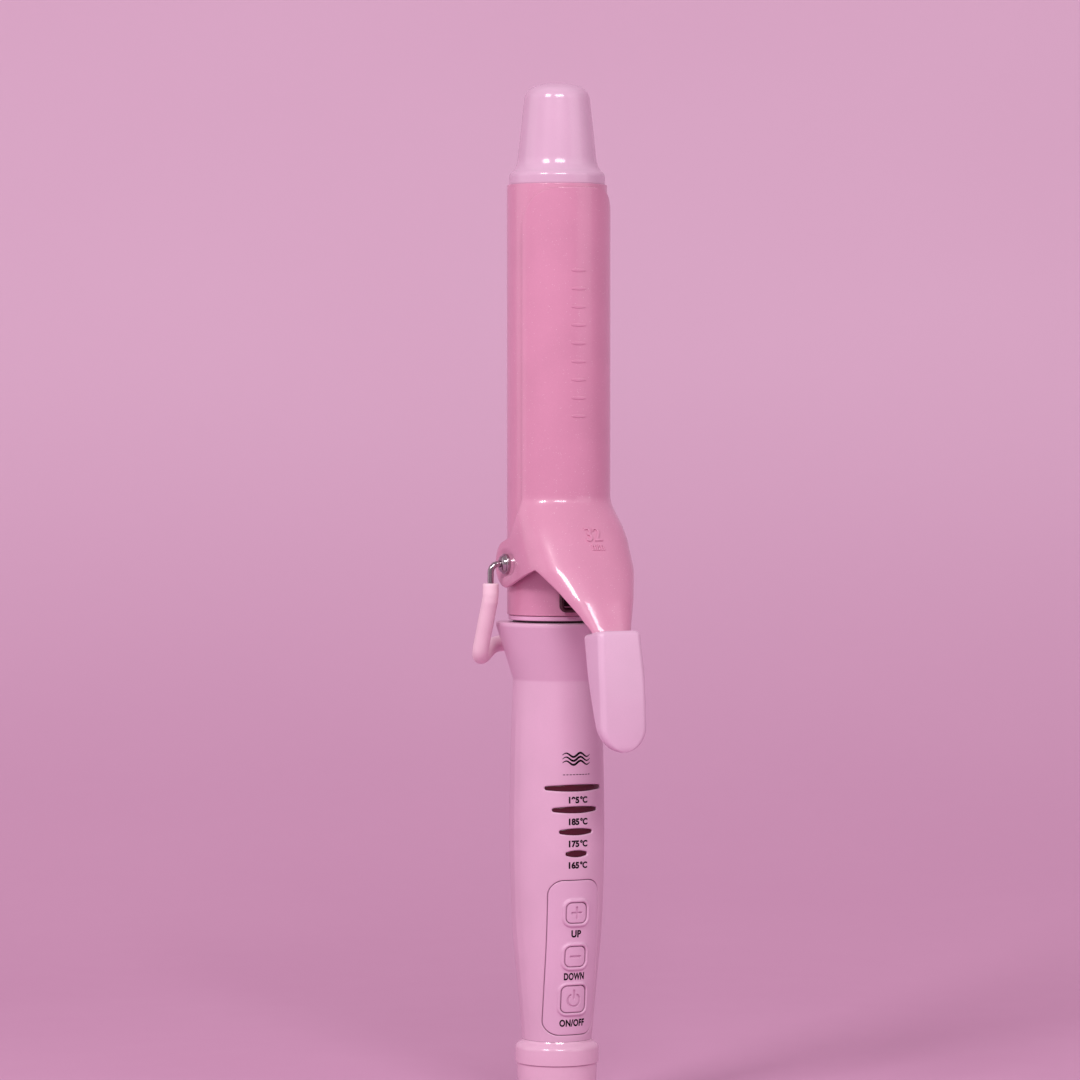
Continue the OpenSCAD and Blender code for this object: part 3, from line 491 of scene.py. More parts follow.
tube_profile = fillet(
    [
        (BORE_R, (BARREL_Z0 + BARREL_Z1) / 2, 0),
        (BORE_R, BARREL_Z0, 0.2),
        (BARREL_R, BARREL_Z0, 0.3),
        (BARREL_R, BARREL_Z1, 0.22),
        (BORE_R, BARREL_Z1, 0.2),
        (BORE_R, (BARREL_Z0 + BARREL_Z1) / 2 + 0.1, 0),
    ]
)
make("barrel_tube", revolve(tube_profile, steps=192), "enamel", "wand", 28, ["barrel"])

ring_profile = fillet(
    [
        (BORE_R, RING_Z0 + 0.5, 0),
        (BORE_R, RING_Z0, 0),
        (BARREL_R - 0.5, RING_Z0, 0.3),
        (BARREL_R - 0.5, BARREL_Z0 - 0.12, 0.3),
        (BORE_R, BARREL_Z0 - 0.12, 0),
        (BORE_R, RING_Z0 + 0.6, 0),
    ]
)
make("pale_ring", revolve(ring_profile), "ring_plastic", "wand", 28, ["barrel_ring"])

seat_profile = [
    (11, 150), (13.3, 150), (13.3, 158.9), (14.1, 158.95),
    (14.1, RING_Z0), (14.7, RING_Z0), (14.7, 170.5), (11, 170.5),
]
seat = revolve([Vector(p) for p in seat_profile], steps=96)
make("seat_collar", seat, "dark_plastic", "wand", 28, ["barrel_seat"])

# ---------------------------------------------------------------- clamp

PADDLE_T, LEVER_T = 0.8, 1.2
PADDLE_R = BARREL_R + 0.25 + PADDLE_T
PADDLE_ANGLE = 65.7
PADDLE_TOP = box_mm("clamp")[1].z
PADDLE_CORNER = 12.5
CREASE_Z = 197.5
EAR_X, EAR_R = 18.3, 7.2
EAR_TOP = PIVOT_Z + EAR_R
NOTCH_Z, LEVER_END = 176.2, 142.0
# The face's and its section centre's distance in front of the axis, and the half widths of section and sheet
FRONT_KNOTS = [
    (138, 44.8), (150, 43.5), (157, 42.2), (160.3, 40.7), (162.5, 39.6), (164.6, 38.6), (167.3, 37.2),
    (172.3, 34), (178.8, 29.5), (187.8, 23.5), (193.3, 19.9), (195.8, 18.2), (CREASE_Z - 0.1, PADDLE_R + 0.22),
    (CREASE_Z + 1.1, PADDLE_R + 0.01), (CREASE_Z + 2.1, PADDLE_R),
]
CENTRE_KNOTS = [
    (138, 39.3), (150, 37.5), (157, 35.7), (160.3, 31.2), (162.5, 28.7), (164.6, 25), (167.3, 20.6),
    (169.6, 16.7), (172.8, 12), (176, 9.7), (180, 8.4), (184.7, 7), (190, 3.9), (194, 1.3),
    (CREASE_Z, 0.15), (CREASE_Z + 2.5, 0), (CREASE_Z + 5.5, 0),
]
SIDE_KNOTS = [
    (138, 6.9), (150, 7.25), (157, 7.6), (160.3, 9.4), (162.5, 10.6), (164.6, 11.95), (167.3, 13.7),
    (169.6, 15.06), (172.8, 16.9), (176, 18.1), (180, EAR_X), (190, EAR_X),
]
WIDTH_KNOTS = [
    (138, 6), (150, 6.3), (157, 6.6), (160.3, 8.2), (162.5, 9.2), (164.6, 10.4), (167.3, 11.9),
    (169.6, 13.1), (172.8, 15.05), (NOTCH_Z, 17.1),
]
BACK_DEPTH = 90
# Degrees that the ear's edge turns, the rows' spacing, and how far the rows' middles fall along each part of the edge
EAR_SWEEP, ROW_STEP = 196, 2.2
CORNER_FALL, EAR_FALL, NOTCH_FALL = 6.5, 7, 4.7


def front_d(z):
    return PADDLE_R if z > CREASE_Z + 2 else knot_curve(FRONT_KNOTS, z)


def centre_d(z):
    return 0 if z > CREASE_Z + 2.5 else knot_curve(CENTRE_KNOTS, z)


def side_x(w, z):
    """The section's half width: the lever's in front, and the ears' from about a right angle on."""
    if z > EAR_TOP:
        return EAR_X + (PADDLE_R - EAR_X) * smooth(EAR_TOP, CREASE_Z, z)
    lever = EAR_X if z > 180 else knot_curve(SIDE_KNOTS, z)
    return lever + (EAR_X - lever) * smooth(62, 84, abs(w))


def fullness(z):
    return 2.6 - 0.6 * smooth(188, CREASE_Z + 2, z)


def face(w, z):
    """The clamp's outer face at the height z and the angle w (degrees) from the front, about the section's centre."""
    s, c, n = math.sin(math.radians(w)), math.cos(math.radians(w)), fullness(z)
    depth = BACK_DEPTH if abs(w) > 90 else front_d(z) - centre_d(z)
    r = (abs(s / side_x(w, z)) ** n + abs(c / depth) ** n) ** (-1 / n)
    return Vector((r * s, -centre_d(z) - r * c, z))


def face_normal(w, z):
    across = face(w + 0.4, z) - face(w - 0.4, z)
    up = face(w, z + 0.15) - face(w, z - 0.15)
    return across.cross(up).normalized()


def sheet_t(z):
    return LEVER_T + (PADDLE_T - LEVER_T) * smooth(EAR_TOP, CREASE_Z + 4, z)


def angle_at_y(y, z):
    n, d = fullness(z), y + centre_d(z)
    depth = BACK_DEPTH if d > 0 else front_d(z) - centre_d(z)
    side = side_x(90 + math.degrees(math.atan2(d, EAR_X)), z)
    return 90 + math.degrees(math.atan2(d, side * (1 - abs(d / depth) ** n) ** (1 / n)))


def angle_at_x(x, z):
    n = fullness(z)
    depth = (front_d(z) - centre_d(z)) * (1 - abs(x / side_x(0, z)) ** n) ** (1 / n)
    return math.degrees(math.atan2(x, depth))


def clamp_rows():
    """Rows of (angle at the edge, height at the edge, height on the centre line), from the top down."""
    rows = []
    half_w = PADDLE_R * math.radians(PADDLE_ANGLE)
    for i in range(25):
        w = math.radians(90 - 90 * i / 24)
        z = PADDLE_TOP - PADDLE_CORNER * (1 - math.sin(w))
        rows.append((math.degrees((half_w - PADDLE_CORNER * (1 - math.cos(w))) / PADDLE_R), z, z))
    z = rows[-1][1] - ROW_STEP
    while z > CREASE_Z + 3.6:
        rows.append((PADDLE_ANGLE, z, z))
        z -= ROW_STEP
    for z in (200.6, 199.6, 198.6):
        rows.append((PADDLE_ANGLE, z, z))
    paddle_y = -PADDLE_R * math.cos(math.radians(PADDLE_ANGLE))
    for p in bend((paddle_y, CREASE_Z), (paddle_y + 1.4, EAR_TOP + 0.5), (0, EAR_TOP), 18):
        t = (CREASE_Z - p[1]) / (CREASE_Z - EAR_TOP)
        rows.append((angle_at_y(p[0], p[1]), p[1], CREASE_Z - CORNER_FALL * t))
    for i in range(1, 37):
        w = math.radians(90 - EAR_SWEEP * i / 36)
        y, z = EAR_R * math.cos(w), PIVOT_Z + EAR_R * math.sin(w)
        rows.append((angle_at_y(y, z), z, CREASE_Z - CORNER_FALL - EAR_FALL * i / 36))
    past = math.radians(EAR_SWEEP - 180)
    start = Vector((-EAR_R * math.sin(past), PIVOT_Z - EAR_R * math.cos(past)))
    apex = angle_at_x(knot_curve(WIDTH_KNOTS, NOTCH_Z), NOTCH_Z)
    end = Vector((face(apex, NOTCH_Z).y, NOTCH_Z))
    for i in range(1, 13):
        p = start + (end - start) * i / 12
        rows.append((angle_at_y(p[0], p[1]), p[1], CREASE_Z - CORNER_FALL - EAR_FALL - NOTCH_FALL * i / 12))
    z = NOTCH_Z - 0.35
    while z > LEVER_END:
        rows.append((angle_at_x(knot_curve(WIDTH_KNOTS, z), z), z, z + 3.1 * smooth(155, 176, z)))
        z -= 0.35 if z > 172 else 0.75
    return rows


def dimple(p):
    """The shallow stamped seat around the hinge, which the bush sits in."""
    rho = math.hypot(p.y / (7.6 if p.y < 0 else 6.0), (p.z - PIVOT_Z) / 5.0)
    return 0.55 * (1 - smooth(0.72, 1.0, rho))


def clamp_point(w, z):
    p = face(w, z)
    return p - face_normal(w, z) * dimple(p)


def clamp_mesh():
    half = 30
    rings = []
    rows = clamp_rows()
    for row in rows:
        outer, inner = [], []
        for j in range(-half, half + 1):
            u = j / half
            w, z = row[0] * u, row[2] + (row[1] - row[2]) * u * u
            n = face_normal(w, z)
            p = clamp_point(w, z)
            outer.append(p)
            inner.append(p - n * sheet_t(z))
        ring = list(outer)
        for a, b, beside in ((outer[-1], inner[-1], outer[-2]), (inner[0], outer[0], outer[1])):
            edge = ((a if beside is outer[-2] else b) - beside).normalized() * (a - b).length * 0.4
            ring += [a.lerp(b, (1 - math.cos(t)) / 2) + edge * math.sin(t) for t in spaced(0, math.pi, 6)[1:-1]]
            ring += inner[::-1] if beside is outer[-2] else []
        rings.append(ring)
    n = 2 * half + 1

    # the same two outlines and rims as indices of a point on the sheet's middle
    middle = list(range(n)) + [n - 1] * 5 + list(range(n))[::-1] + [0] * 5
    top, z = [], rows[0][1]
    mids = [(rings[0][j] + rings[0][2 * n + 4 - j]) / 2 for j in range(n)]
    for t in spaced(0, math.pi / 2, 4)[1:]:
        rise = Vector((0, 0, 0.4 * math.sin(t) * sheet_t(z)))
        flat_by = max(math.cos(t), 0.02)
        top.append([mids[m] + (p - mids[m]) * flat_by + rise for m, p in zip(middle, rings[0])])
    verts, faces = loft(top[::-1] + rings, caps=False)
    for start in (0, (len(top) + len(rings) - 1) * len(middle)):
        for j in range(n - 1):
            faces.append([start + j, start + j + 1, start + 2 * n + 3 - j, start + 2 * n + 4 - j])
    return verts, faces


make("clamp_sheet", clamp_mesh(), "enamel", "clamp", 40, ["clamp"])


# ---------------------------------------------------------------- raised and printed marks


def text_part(body, size, raise_by=0.0, bevel=0.0, weight=0.0, narrow=1.0, spacing=1.0):
    """Flat lettering as a mesh, centred on the origin, in millimetres."""
    curve = bpy.data.curves.new("lettering", "FONT")
    curve.body = body
    curve.size = size
    curve.align_x, curve.align_y = "CENTER", "CENTER"
    curve.offset = weight
    curve.space_character = spacing
    curve.extrude = raise_by
    curve.bevel_depth = bevel
    curve.bevel_resolution = 2
    curve.resolution_u = 6
    holder = bpy.data.objects.new("lettering", curve)
    bpy.context.scene.collection.objects.link(holder)
    bpy.context.view_layer.update()
    mesh = bpy.data.meshes.new_from_object(holder.evaluated_get(bpy.context.evaluated_depsgraph_get()))
    bm = bmesh.new()
    bm.from_mesh(mesh)
    bmesh.ops.triangulate(bm, faces=bm.faces)
    verts = [Vector((v.co.x * narrow, v.co.y, v.co.z)) for v in bm.verts]
    faces = [[v.index for v in f.verts] for f in bm.faces]
    bm.free()
    bpy.data.objects.remove(holder)
    bpy.data.curves.remove(curve)
    bpy.data.meshes.remove(mesh)
    return verts, faces


def prism(outline, height, bevel):
    """A raised mark from a convex outline of (x, y), with a rounded upper edge."""
    rings = []
    centre = sum((Vector(p) for p in outline), Vector((0, 0))) / len(outline)
    for h, shrink in [(-0.2, 0)] + [
        (height - bevel + bevel * math.sin(t), bevel * (1 - math.cos(t))) for t in spaced(0, math.pi / 2, 4)
    ]:
        ring = []
        for p in outline:
            p = Vector(p)
            q = p + (centre - p).normalized() * shrink
            ring.append(Vector((q.x, q.y, h)))
        rings.append(ring)
    return loft(rings)


def lens(half_length, mid, end, n=14):
    """Outline of a lens with rounded ends, as the windows and the raised marks have."""
    flat = half_length - end
    top = [(flat * (1 - 2 * i / n), end + (mid - end) * (1 - (1 - 2 * i / n) ** 2)) for i in range(n + 1)]
    left = [(-flat - end * math.sin(t), end * math.cos(t)) for t in spaced(0, math.pi, 10)[1:-1]]
    return top + left + [(-x, -y) for x, y in top + left]


def on_clamp(part, w0, z0):
    """Lays a flat mark on the clamp's face around the angle w0 and the height z0."""

    def move(v):
        z = z0 + v.y * 0.93
        r = (face(w0, z0) + Vector((0, centre_d(z0), 0))).xy.length
        w = w0 + math.degrees(v.x / r)
        return face(w, z) + face_normal(w, z) * v.z

    return moved(part, move)


marks = [on_clamp(prism(lens(2.5, 0.62, 0.34), 0.16, 0.14), -1.5, 270.5 - 5.75 * i) for i in range(9)]
make("paddle_ribs", join(*marks), "enamel", "clamp", 60)
size_mark = join(
    on_clamp(text_part("32", 6.5, 0.34, 0.1, 0.0, 0.9), 3.3, 187.0),
    on_clamp(text_part("mm", 3.9, 0.28, 0.07, 0.0, 0.74), 4.8, 183.4),
)
make("size_mark", size_mark, "enamel", "clamp", 60)

# ---------------------------------------------------------------- thumb cap

CAP_TOP, CAP_LOW, CAP_HALF = 157.2, 120.2, 7.9
CAP_FRONT = [(119, 49.6), (128, 49.6), (141, 48.7), (158, 45.9)]
CAP_BACK = [(119, 46.9), (125.4, 44.4), (132.2, 41.5), (142.5, 37.9), (158, 33.3)]


def thumb_cap_rings():
    round_end = (90, 84, 78, 70, 62, 54, 46, 38, 30, 22, 14, 7, 0)
    heights = [CAP_LOW + CAP_HALF * (1 - math.sin(math.radians(w))) for w in round_end]
    heights += [129.5 + 1.6 * i for i in range(16)]
    top = 1.5
    heights += [CAP_TOP - top + top * math.sin(math.radians(a)) for a in (0, 15, 30, 45, 60, 75, 90)]
    rings = []
    for i, z in enumerate(heights):
        over = clamp01((z - (CAP_TOP - top)) / top)
        shrink = top * (1 - math.sqrt(max(0.0, 1 - over * over)))
        drop = clamp01((CAP_LOW + CAP_HALF - z) / CAP_HALF)
        half = CAP_HALF * math.sqrt(max(1 - drop * drop, 0)) - 0.5 * smooth(142, CAP_TOP, z) - shrink
        half = max(half, 1.1)
        back, front = knot_curve(CAP_BACK, z) + shrink, knot_curve(CAP_FRONT, z) - shrink
        squeeze = 0.45 * (1 - clamp01((z - CAP_LOW) / 1.6)) ** 2
        back, front = back + squeeze, front - squeeze
        thick = front - back
        ring = []
        r = min(2.0, thick * 0.46, half * 0.85)
        for cx, cy, a0 in QUARTERS:
            for k in range(9):
                w = math.radians(a0 + 90 * k / 8)
                y = (-back - r if cy > 0 else -front + r) + r * math.sin(w)
                x = cx * (half - r) + r * math.cos(w)
                ring.append(Vector((x, y, z + 0.14 * (-y - 40) * smooth(140, CAP_TOP, z))))
        rings.append(ring)
    return rings


make("thumb_grip", loft(thumb_cap_rings()), "cap_plastic", "clamp", 50, ["thumb_cap"])

# ---------------------------------------------------------------- stand and bushes

LEG_X, WIRE_R, SLEEVE_R, SLEEVE_TOP = 23.3, 1.0, 2.55, 171.4
KNEE = Vector((LEG_X, 0, 167))
STAND_CORNER, STAND_BACK = Vector((LEG_X, 9.3, 146.8)), Vector((12.5, 20.9, 151.2))


def mirrored(p):
    return Vector((-p[0], p[1], p[2]))


def stand_path():
    top = Vector((LEG_X, 0, PIVOT_Z))
    right = [Vector((17.5, 0, PIVOT_Z)), Vector((19, 0, PIVOT_Z))]
    right += corner((0, 0, PIVOT_Z), top, KNEE, 2.59, 14)
    right += corner(top, KNEE, STAND_CORNER, 8, 10)
    right += corner(KNEE, STAND_CORNER, STAND_BACK, 4.2, 12)
    right += corner(STAND_CORNER, STAND_BACK, mirrored(STAND_BACK), 9, 12)
    dense = []
    for a, b in zip(right, right[1:]):
        count = max(1, int((b - a).length / 1.2))
        dense += [a.lerp(b, k / count) for k in range(count)]
    dense.append(right[-1])
    return dense + [mirrored(p) for p in dense[::-1]]


path = stand_path()
make("stand_loop", loft(tube_rings(path, WIRE_R, 24, (0, 1, 0))), "chrome", "stand", 50, ["stand_wire"])


def sleeve_mesh():
    covered = [p for p in path if p.z < SLEEVE_TOP - 0.9]
    top = Vector((LEG_X, 0, SLEEVE_TOP))
    ends = [(0.0, 1.02), (0.0, 1.6), (0.0, 2.12), (-0.05, 2.32), (-0.16, 2.47), (-0.34, SLEEVE_R)]
    head = [(top + Vector((0, 0, dz)), r) for dz, r in ends]
    # each end ring sits a hair lower than the one before, so that the tangent stays defined
    head = [(p + Vector((0, 0, -0.004 * i)), r) for i, (p, r) in enumerate(head)]
    body = [(p, SLEEVE_R + 0.03 * math.sin(i * 0.9)) for i, p in enumerate(covered)]
    tail = [(mirrored(p), r) for p, r in head[::-1]]
    stations = head + body + tail
    return loft(tube_rings([s[0] for s in stations], [s[1] for s in stations], 32, (0, 1, 0)), caps=False)


make("soft_sleeve", sleeve_mesh(), "silicone", "stand", 50, ["stand_sleeve"])

bush_outline = [
    (0, 15, 0), (2.2, 15, 0), (2.2, EAR_X - 0.5, 0),
    (3.25, EAR_X - 0.5, 0.1), (3.25, EAR_X + 0.45, 0.22), (2.9, EAR_X + 0.62, 0),
]
dome = [(1.35 + 1.5 * math.cos(t), EAR_X + 0.62 + 1.18 * math.sin(t)) for t in spaced(0, math.pi / 2, 10)]
recess = [(1.12, EAR_X + 1.72), (1.05, EAR_X + 1.5), (0, EAR_X + 1.5)]
bush_profile = fillet(bush_outline) + [Vector(p) for p in dome + recess]
for side, node in ((1, "hinge_bush_right"), (-1, "hinge_bush_left")):
    part = turned_x(revolve(bush_profile, closed=False, steps=72), side)
    make(node + "_dome", part, "chrome", "wand", 35, [node])

# ---------------------------------------------------------------- clamp spring and its plate

SPRING_R, COIL_R, LOOP_X = 0.75, 2.0, 6.4
LOOP_Y, LOOP_Z, COIL_Z = -BARREL_R - 1.0, 163.2, 178.0
COIL_Y, TURNS, FOOT = LOOP_Y - COIL_R, 2, 55


def spring_path():
    half = [Vector((0, LOOP_Y, LOOP_Z))]
    half += corner((0, LOOP_Y, LOOP_Z), (LOOP_X, LOOP_Y, LOOP_Z), (LOOP_X, LOOP_Y, COIL_Z), 1.5, 8)
    steps = 28 * TURNS
    sweep = 360 * TURNS - 180 - FOOT
    foot_x = LOOP_X - 1.65 * TURNS
    for i in range(steps + 1):
        w = math.radians(sweep * i / steps)
        x = LOOP_X + (foot_x - LOOP_X) * i / steps
        half.append(Vector((x, COIL_Y + COIL_R * math.cos(w), COIL_Z + COIL_R * math.sin(w))))
    down = Vector((0, -math.sin(math.radians(FOOT)), -math.cos(math.radians(FOOT))))
    last = half[-1]
    half += [last + down * 14.5 * k / 7 for k in range(1, 8)]
    return [mirrored(p) for p in half[:0:-1]] + half


coils = loft(tube_rings(spring_path(), SPRING_R, 16, (1, 0, 0)))
spring = make("torsion_spring", coils, "dark_steel", "wand", 50, ["clamp_spring"])
spring.parent = None
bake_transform(spring)


def plate_mesh():
    """The curved plate on the barrel, a rounded sheet in the angle and the height. Its near-black colour is partly
    painted shade, standing in for the dark under the clamp.
    """
    w0, z_lo, z_hi, r0, r1 = math.asin(5.2 / 16.3), 164.4, 184.4, BARREL_R - 0.05, BARREL_R + 0.6
    section = [(r0, z_lo), (r1 - 0.12, z_lo), (r1, z_lo + 0.12), (r1, z_hi - 0.12), (r1 - 0.12, z_hi), (r0, z_hi)]
    rings = []
    for w in spaced(-w0, w0, 24):
        rings.append([Vector((r * math.sin(w), -r * math.cos(w), z)) for r, z in section])
    return loft(rings)


def lug_mesh(x0):
    """One ear of the plate, a rounded tab that carries the pin."""
    outline = [(-15.6, -2.2), (COIL_Y, -2.2)]
    outline += [(COIL_Y - 2.2 * math.sin(t), -2.2 * math.cos(t)) for t in spaced(0, math.pi, 16)]
    outline += [(-15.6, 2.2)]
    rings = [[Vector((x, y, COIL_Z + z)) for y, z in outline] for x in (x0, x0 + 1.0)]
    return loft(rings)


bracket = join(plate_mesh(), lug_mesh(-2.1), lug_mesh(1.1))
make("spring_bracket", bracket, "black_steel", "wand", 40, ["spring_plate"])
pin_half = LOOP_X + 1.2
pin_profile = fillet([(0, -pin_half, 0), (1.2, -pin_half, 0.25), (1.2, pin_half, 0.25), (0, pin_half, 0)])
pin = moved(revolve(pin_profile, closed=False, steps=40), lambda v: Vector((v.z, COIL_Y + v.x, COIL_Z + v.y)))
make("spring_rod", pin, "dark_steel", "wand", 40, ["spring_pin"])

# ---------------------------------------------------------------- handle

GRIP_R, GRIP_END_R, GRIP_Z0, CONE_Z = 15.15, 11.1, 25.4, 140.5
GRIP_KNOTS = [
    (GRIP_Z0, GRIP_END_R), (42, 12.57), (60, GRIP_R - 0.95), (78, GRIP_R - 0.22), (98, GRIP_R),
    (127, GRIP_R - 0.6), (CONE_Z, GRIP_R - 1.15),
]
COLLAR_R, COLLAR_Z = 19.5, 158.9
UNROLL = 15.0


def grip(z):
    return knot_curve(GRIP_KNOTS, z)


def on_grip(u, z, out=0.0, side=1):
    """The point on the grip at the unrolled distance u from the middle of the front (side 1) or back (-1)."""
    w, r = u / UNROLL, grip(z) + out
    return Vector((side * r * math.sin(w), -side * r * math.cos(w), z))


def unrolled(x, z):
    return UNROLL * math.asin(x / grip(z))


def rounded_rect(w, h, r, z0, step=0.35):
    """Outline of a rounded rectangle centred on x = 0 and z = z0, with points all along it."""
    points = []
    for cx, cz, a0 in QUARTERS:
        n = max(4, int(r * math.pi / 2 / step))
        for k in range(n + 1):
            a = math.radians(a0 + 90 * k / n)
            points.append(Vector((cx * (w / 2 - r) + r * math.cos(a), z0 + cz * (h / 2 - r) + r * math.sin(a))))
    full = []
    for a, b in zip(points, points[1:] + points[:1]):
        n = max(1, int((b - a).length / (step * 2)))
        full += [a.lerp(b, k / n) for k in range(n)]
    return full


def grown(outline, by):
    """A convex outline moved outwards."""
    n = len(outline)
    out = []
    for i, p in enumerate(outline):
        along = (outline[(i + 1) % n] - outline[i - 1]).normalized()
        out.append(p + Vector((along.y, -along.x)) * by)
    return out


class Area:
    """A closed outline that says whether it holds a point."""

    def __init__(self, loop):
        self.loop = loop
        self.lo = Vector((min(p.x for p in loop), min(p.y for p in loop)))
        self.hi = Vector((max(p.x for p in loop), max(p.y for p in loop)))

    def holds(self, p):
        if not (self.lo.x <= p.x <= self.hi.x and self.lo.y <= p.y <= self.hi.y):
            return False
        hit = False
        for a, b in zip(self.loop, self.loop[-1:] + self.loop[:-1]):
            if (a.y > p.y) != (b.y > p.y) and p.x < (b.x - a.x) * (p.y - a.y) / (b.y - a.y) + a.x:
                hit = not hit
        return hit


class Field:
    """Points on the unrolled grip, each with its height, and the loops whose edges the triangles keep."""

    def __init__(self):
        self.points, self.heights, self.edges = [], [], []

    def loop(self, loop, height):
        base, n = len(self.points), len(loop)
        self.points += loop
        self.heights += [height] * n
        self.edges += [(base + i, base + (i + 1) % n) for i in range(n)]

    def point(self, p, height):
        self.points.append(p)
        self.heights.append(height)

    def triangles(self, rest):
        """Points, their heights (rest where a crossing made a new one), and triangles with their middles."""
        made = delaunay_2d_cdt(self.points, self.edges, [], 0, 1e-5)
        heights = [self.heights[origin[0]] if origin else rest for origin in made[3]]
        return made[0], heights, [(list(t), sum((made[0][k] for k in t), Vector((0, 0))) / 3) for t in made[2]]


def flat(loop):
    """An outline in (x, z), unrolled from the grip."""
    return [Vector((unrolled(p.x, p.y), p.y)) for p in loop]


def skin(border, holes, border_out=0.0, spacing=0.95, side=1, extra=(), level=0.0):
    """A patch of the grip's skin, in (x, z) as seen from the front. border is its outline. holes are lists of
    (outline, [(growth, height), ...]), from the hole's edge outwards. extra is more rings of the same kind for the
    border, growing inwards. level is the height of the field."""
    field = Field()
    field.loop(flat(border), border_out)
    inner_border = border
    for growth, out in extra:
        inner_border = grown(border, growth)
        field.loop(flat(inner_border), out)
    keep_out = []
    for outline, rings in holes:
        for growth, out in rings:
            field.loop(flat(grown(outline, growth)), out)
        keep_out.append(Area(flat(grown(outline, rings[-1][0] + 0.3))))
    within = Area(flat(grown(inner_border, -0.3)))
    row = 0
    z = within.lo.y
    while z < within.hi.y:
        u = within.lo.x + (spacing / 2 if row % 2 else 0)
        while u < within.hi.x:
            p = Vector((u, z))
            if within.holds(p) and not any(area.holds(p) for area in keep_out):
                field.point(p, level)
            u += spacing
        z += spacing * 0.87
        row += 1
    points, heights, triangles = field.triangles(level)
    cores, rim = [Area(flat(outline)) for outline, _ in holes], Area(flat(border))
    verts = [on_grip(p.x, p.y, out, side) for p, out in zip(points, heights)]
    return verts, [t for t, c in triangles if rim.holds(c) and not any(core.holds(c) for core in cores)]


def wall(outline, out, depths, side=1):
    """The side wall of a hole or of a piece's edge, going straight in along Y."""
    top = [on_grip(p.x, p.y, out, side) for p in flat(outline)]
    return loft([[p + Vector((0, side * d, 0)) for p in top] for d in depths], caps=False)


def lip(radius, n=4):
    """Rings that round off the edge of a hole: (growth, height), from the edge outwards."""
    return [(radius * (1 - math.cos(t)), -radius * (1 - math.sin(t))) for t in spaced(0, math.pi / 2, n)]


PANEL_LO, PANEL_HI = box_mm("control_panel")
PANEL_W, PANEL_Z0, PANEL_Z1 = 17.6, PANEL_LO.z, PANEL_HI.z
PANEL_MID = (PANEL_Z0 + PANEL_Z1) / 2
PANEL_CORNER = 4.6
KEYS = {
    "up": (66.9, 6.9, 6.5, 9.0, 9.9),
    "down": (52.9, 6.9, 6.5, 9.0, 9.9),
    "power": (39.2, 8.2, 8.6, 9.9, 11.4),
}
KEY_CORNER = 1.8
WINDOWS = {"195": (106.6, 40.8), "185": (99.7, 31.3), "175": (92.7, 22.5), "165": (85.7, 14.5)}
SCREWS = (79.5, 122.0)
SCREW_HOLE_R = 2.75


def window_outline(z, half_angle, by=0.0):
    half = grip(z) * math.sin(math.radians(half_angle))
    return [Vector((x, z + y)) for x, y in lens(half + by, 1.05 + by, 0.6 + by, 22)]


def rectangle(w_edge, z0, z1, step=1.4):
    """The border of a half shell, as x at the angle w_edge, from z0 to z1."""
    loop = []
    cols, rows = 46, int((z1 - z0) / step)
    s = math.sin(math.radians(w_edge))
    for side, za, zb in ((1, z0, z1), (-1, z1, z0)):
        angles = spaced(-side * w_edge, side * w_edge, cols)[:-1]
        loop += [Vector((grip(za) * math.sin(math.radians(w)), za)) for w in angles]
        loop += [Vector((side * grip(z) * s, z)) for z in spaced(za, zb, rows)[:-1]]
    return loop


EDGE_W = 89.97
SPLIT_Z = 128.0


def shell_top(side):
    """The plain part of a half shell above the split height: grip, cone, rim and the flat face around the seat."""
    line = [(grip(z), z, 0) for z in [SPLIT_Z + 1.5 * i for i in range(8)]]
    line += [
        (grip(CONE_Z), CONE_Z, 2.5),
        (19.46, COLLAR_Z - 1.27, 0.5),
        (COLLAR_R, COLLAR_Z - 0.95, 0.1),
        (COLLAR_R, COLLAR_Z, 0.85),
        (14.3, COLLAR_Z, 0.12),
        (14.3, COLLAR_Z - 1.2, 0),
    ]
    start = -EDGE_W if side > 0 else 180 - EDGE_W
    return revolve(fillet(line, 8), closed=False, steps=46, start=start, sweep=2 * EDGE_W)


def shell(side):
    border = rectangle(EDGE_W, GRIP_Z0, SPLIT_Z)
    parts = [shell_top(side)]
    holes = []
    if side > 0:
        panel = rounded_rect(PANEL_W + 0.44, PANEL_Z1 - PANEL_Z0 + 0.44, PANEL_CORNER + 0.22, PANEL_MID)
        holes.append((panel, lip(0.24)))
        parts.append(wall(panel, -0.24, (0, 0.5, 1.6), side))
        for z, half_angle in WINDOWS.values():
            outline = window_outline(z, half_angle, 0.05)
            holes.append((outline, lip(0.42, 5)))
            parts.append(wall(outline, -0.42, (0, 0.6, 1.8), side))
    else:
        for z in SCREWS:
            around = spaced(0, -2 * math.pi, 40)[:-1]
            outline = [Vector((SCREW_HOLE_R * math.sin(t), z + SCREW_HOLE_R * math.cos(t))) for t in around]
            holes.append((outline, lip(0.35)))
            ring = [on_grip(p.x, p.y, -0.35, side) for p in flat(outline)]
            floor = [Vector((p.x, 8.0, p.z)) for p in ring]
            centre = [Vector((p.x * 0.45, 8.0, z + (p.z - z) * 0.45)) for p in ring]
            parts.append(loft([ring, floor, centre], caps=False))
    parts.append(skin(border, holes, side=side))
    lower = [(GRIP_END_R, GRIP_Z0), (8.6, GRIP_Z0), (8.6, GRIP_Z0 + 2)]
    start = -EDGE_W if side > 0 else 180 - EDGE_W
    parts.append(revolve([Vector(p) for p in lower], closed=False, steps=46, start=start, sweep=2 * EDGE_W))
    return join(*parts)


make("front_shell", shell(1), "handle_plastic", "wand", 38, ["handle_front"])
make("back_shell", shell(-1), "handle_plastic", "wand", 38, ["handle_back"])

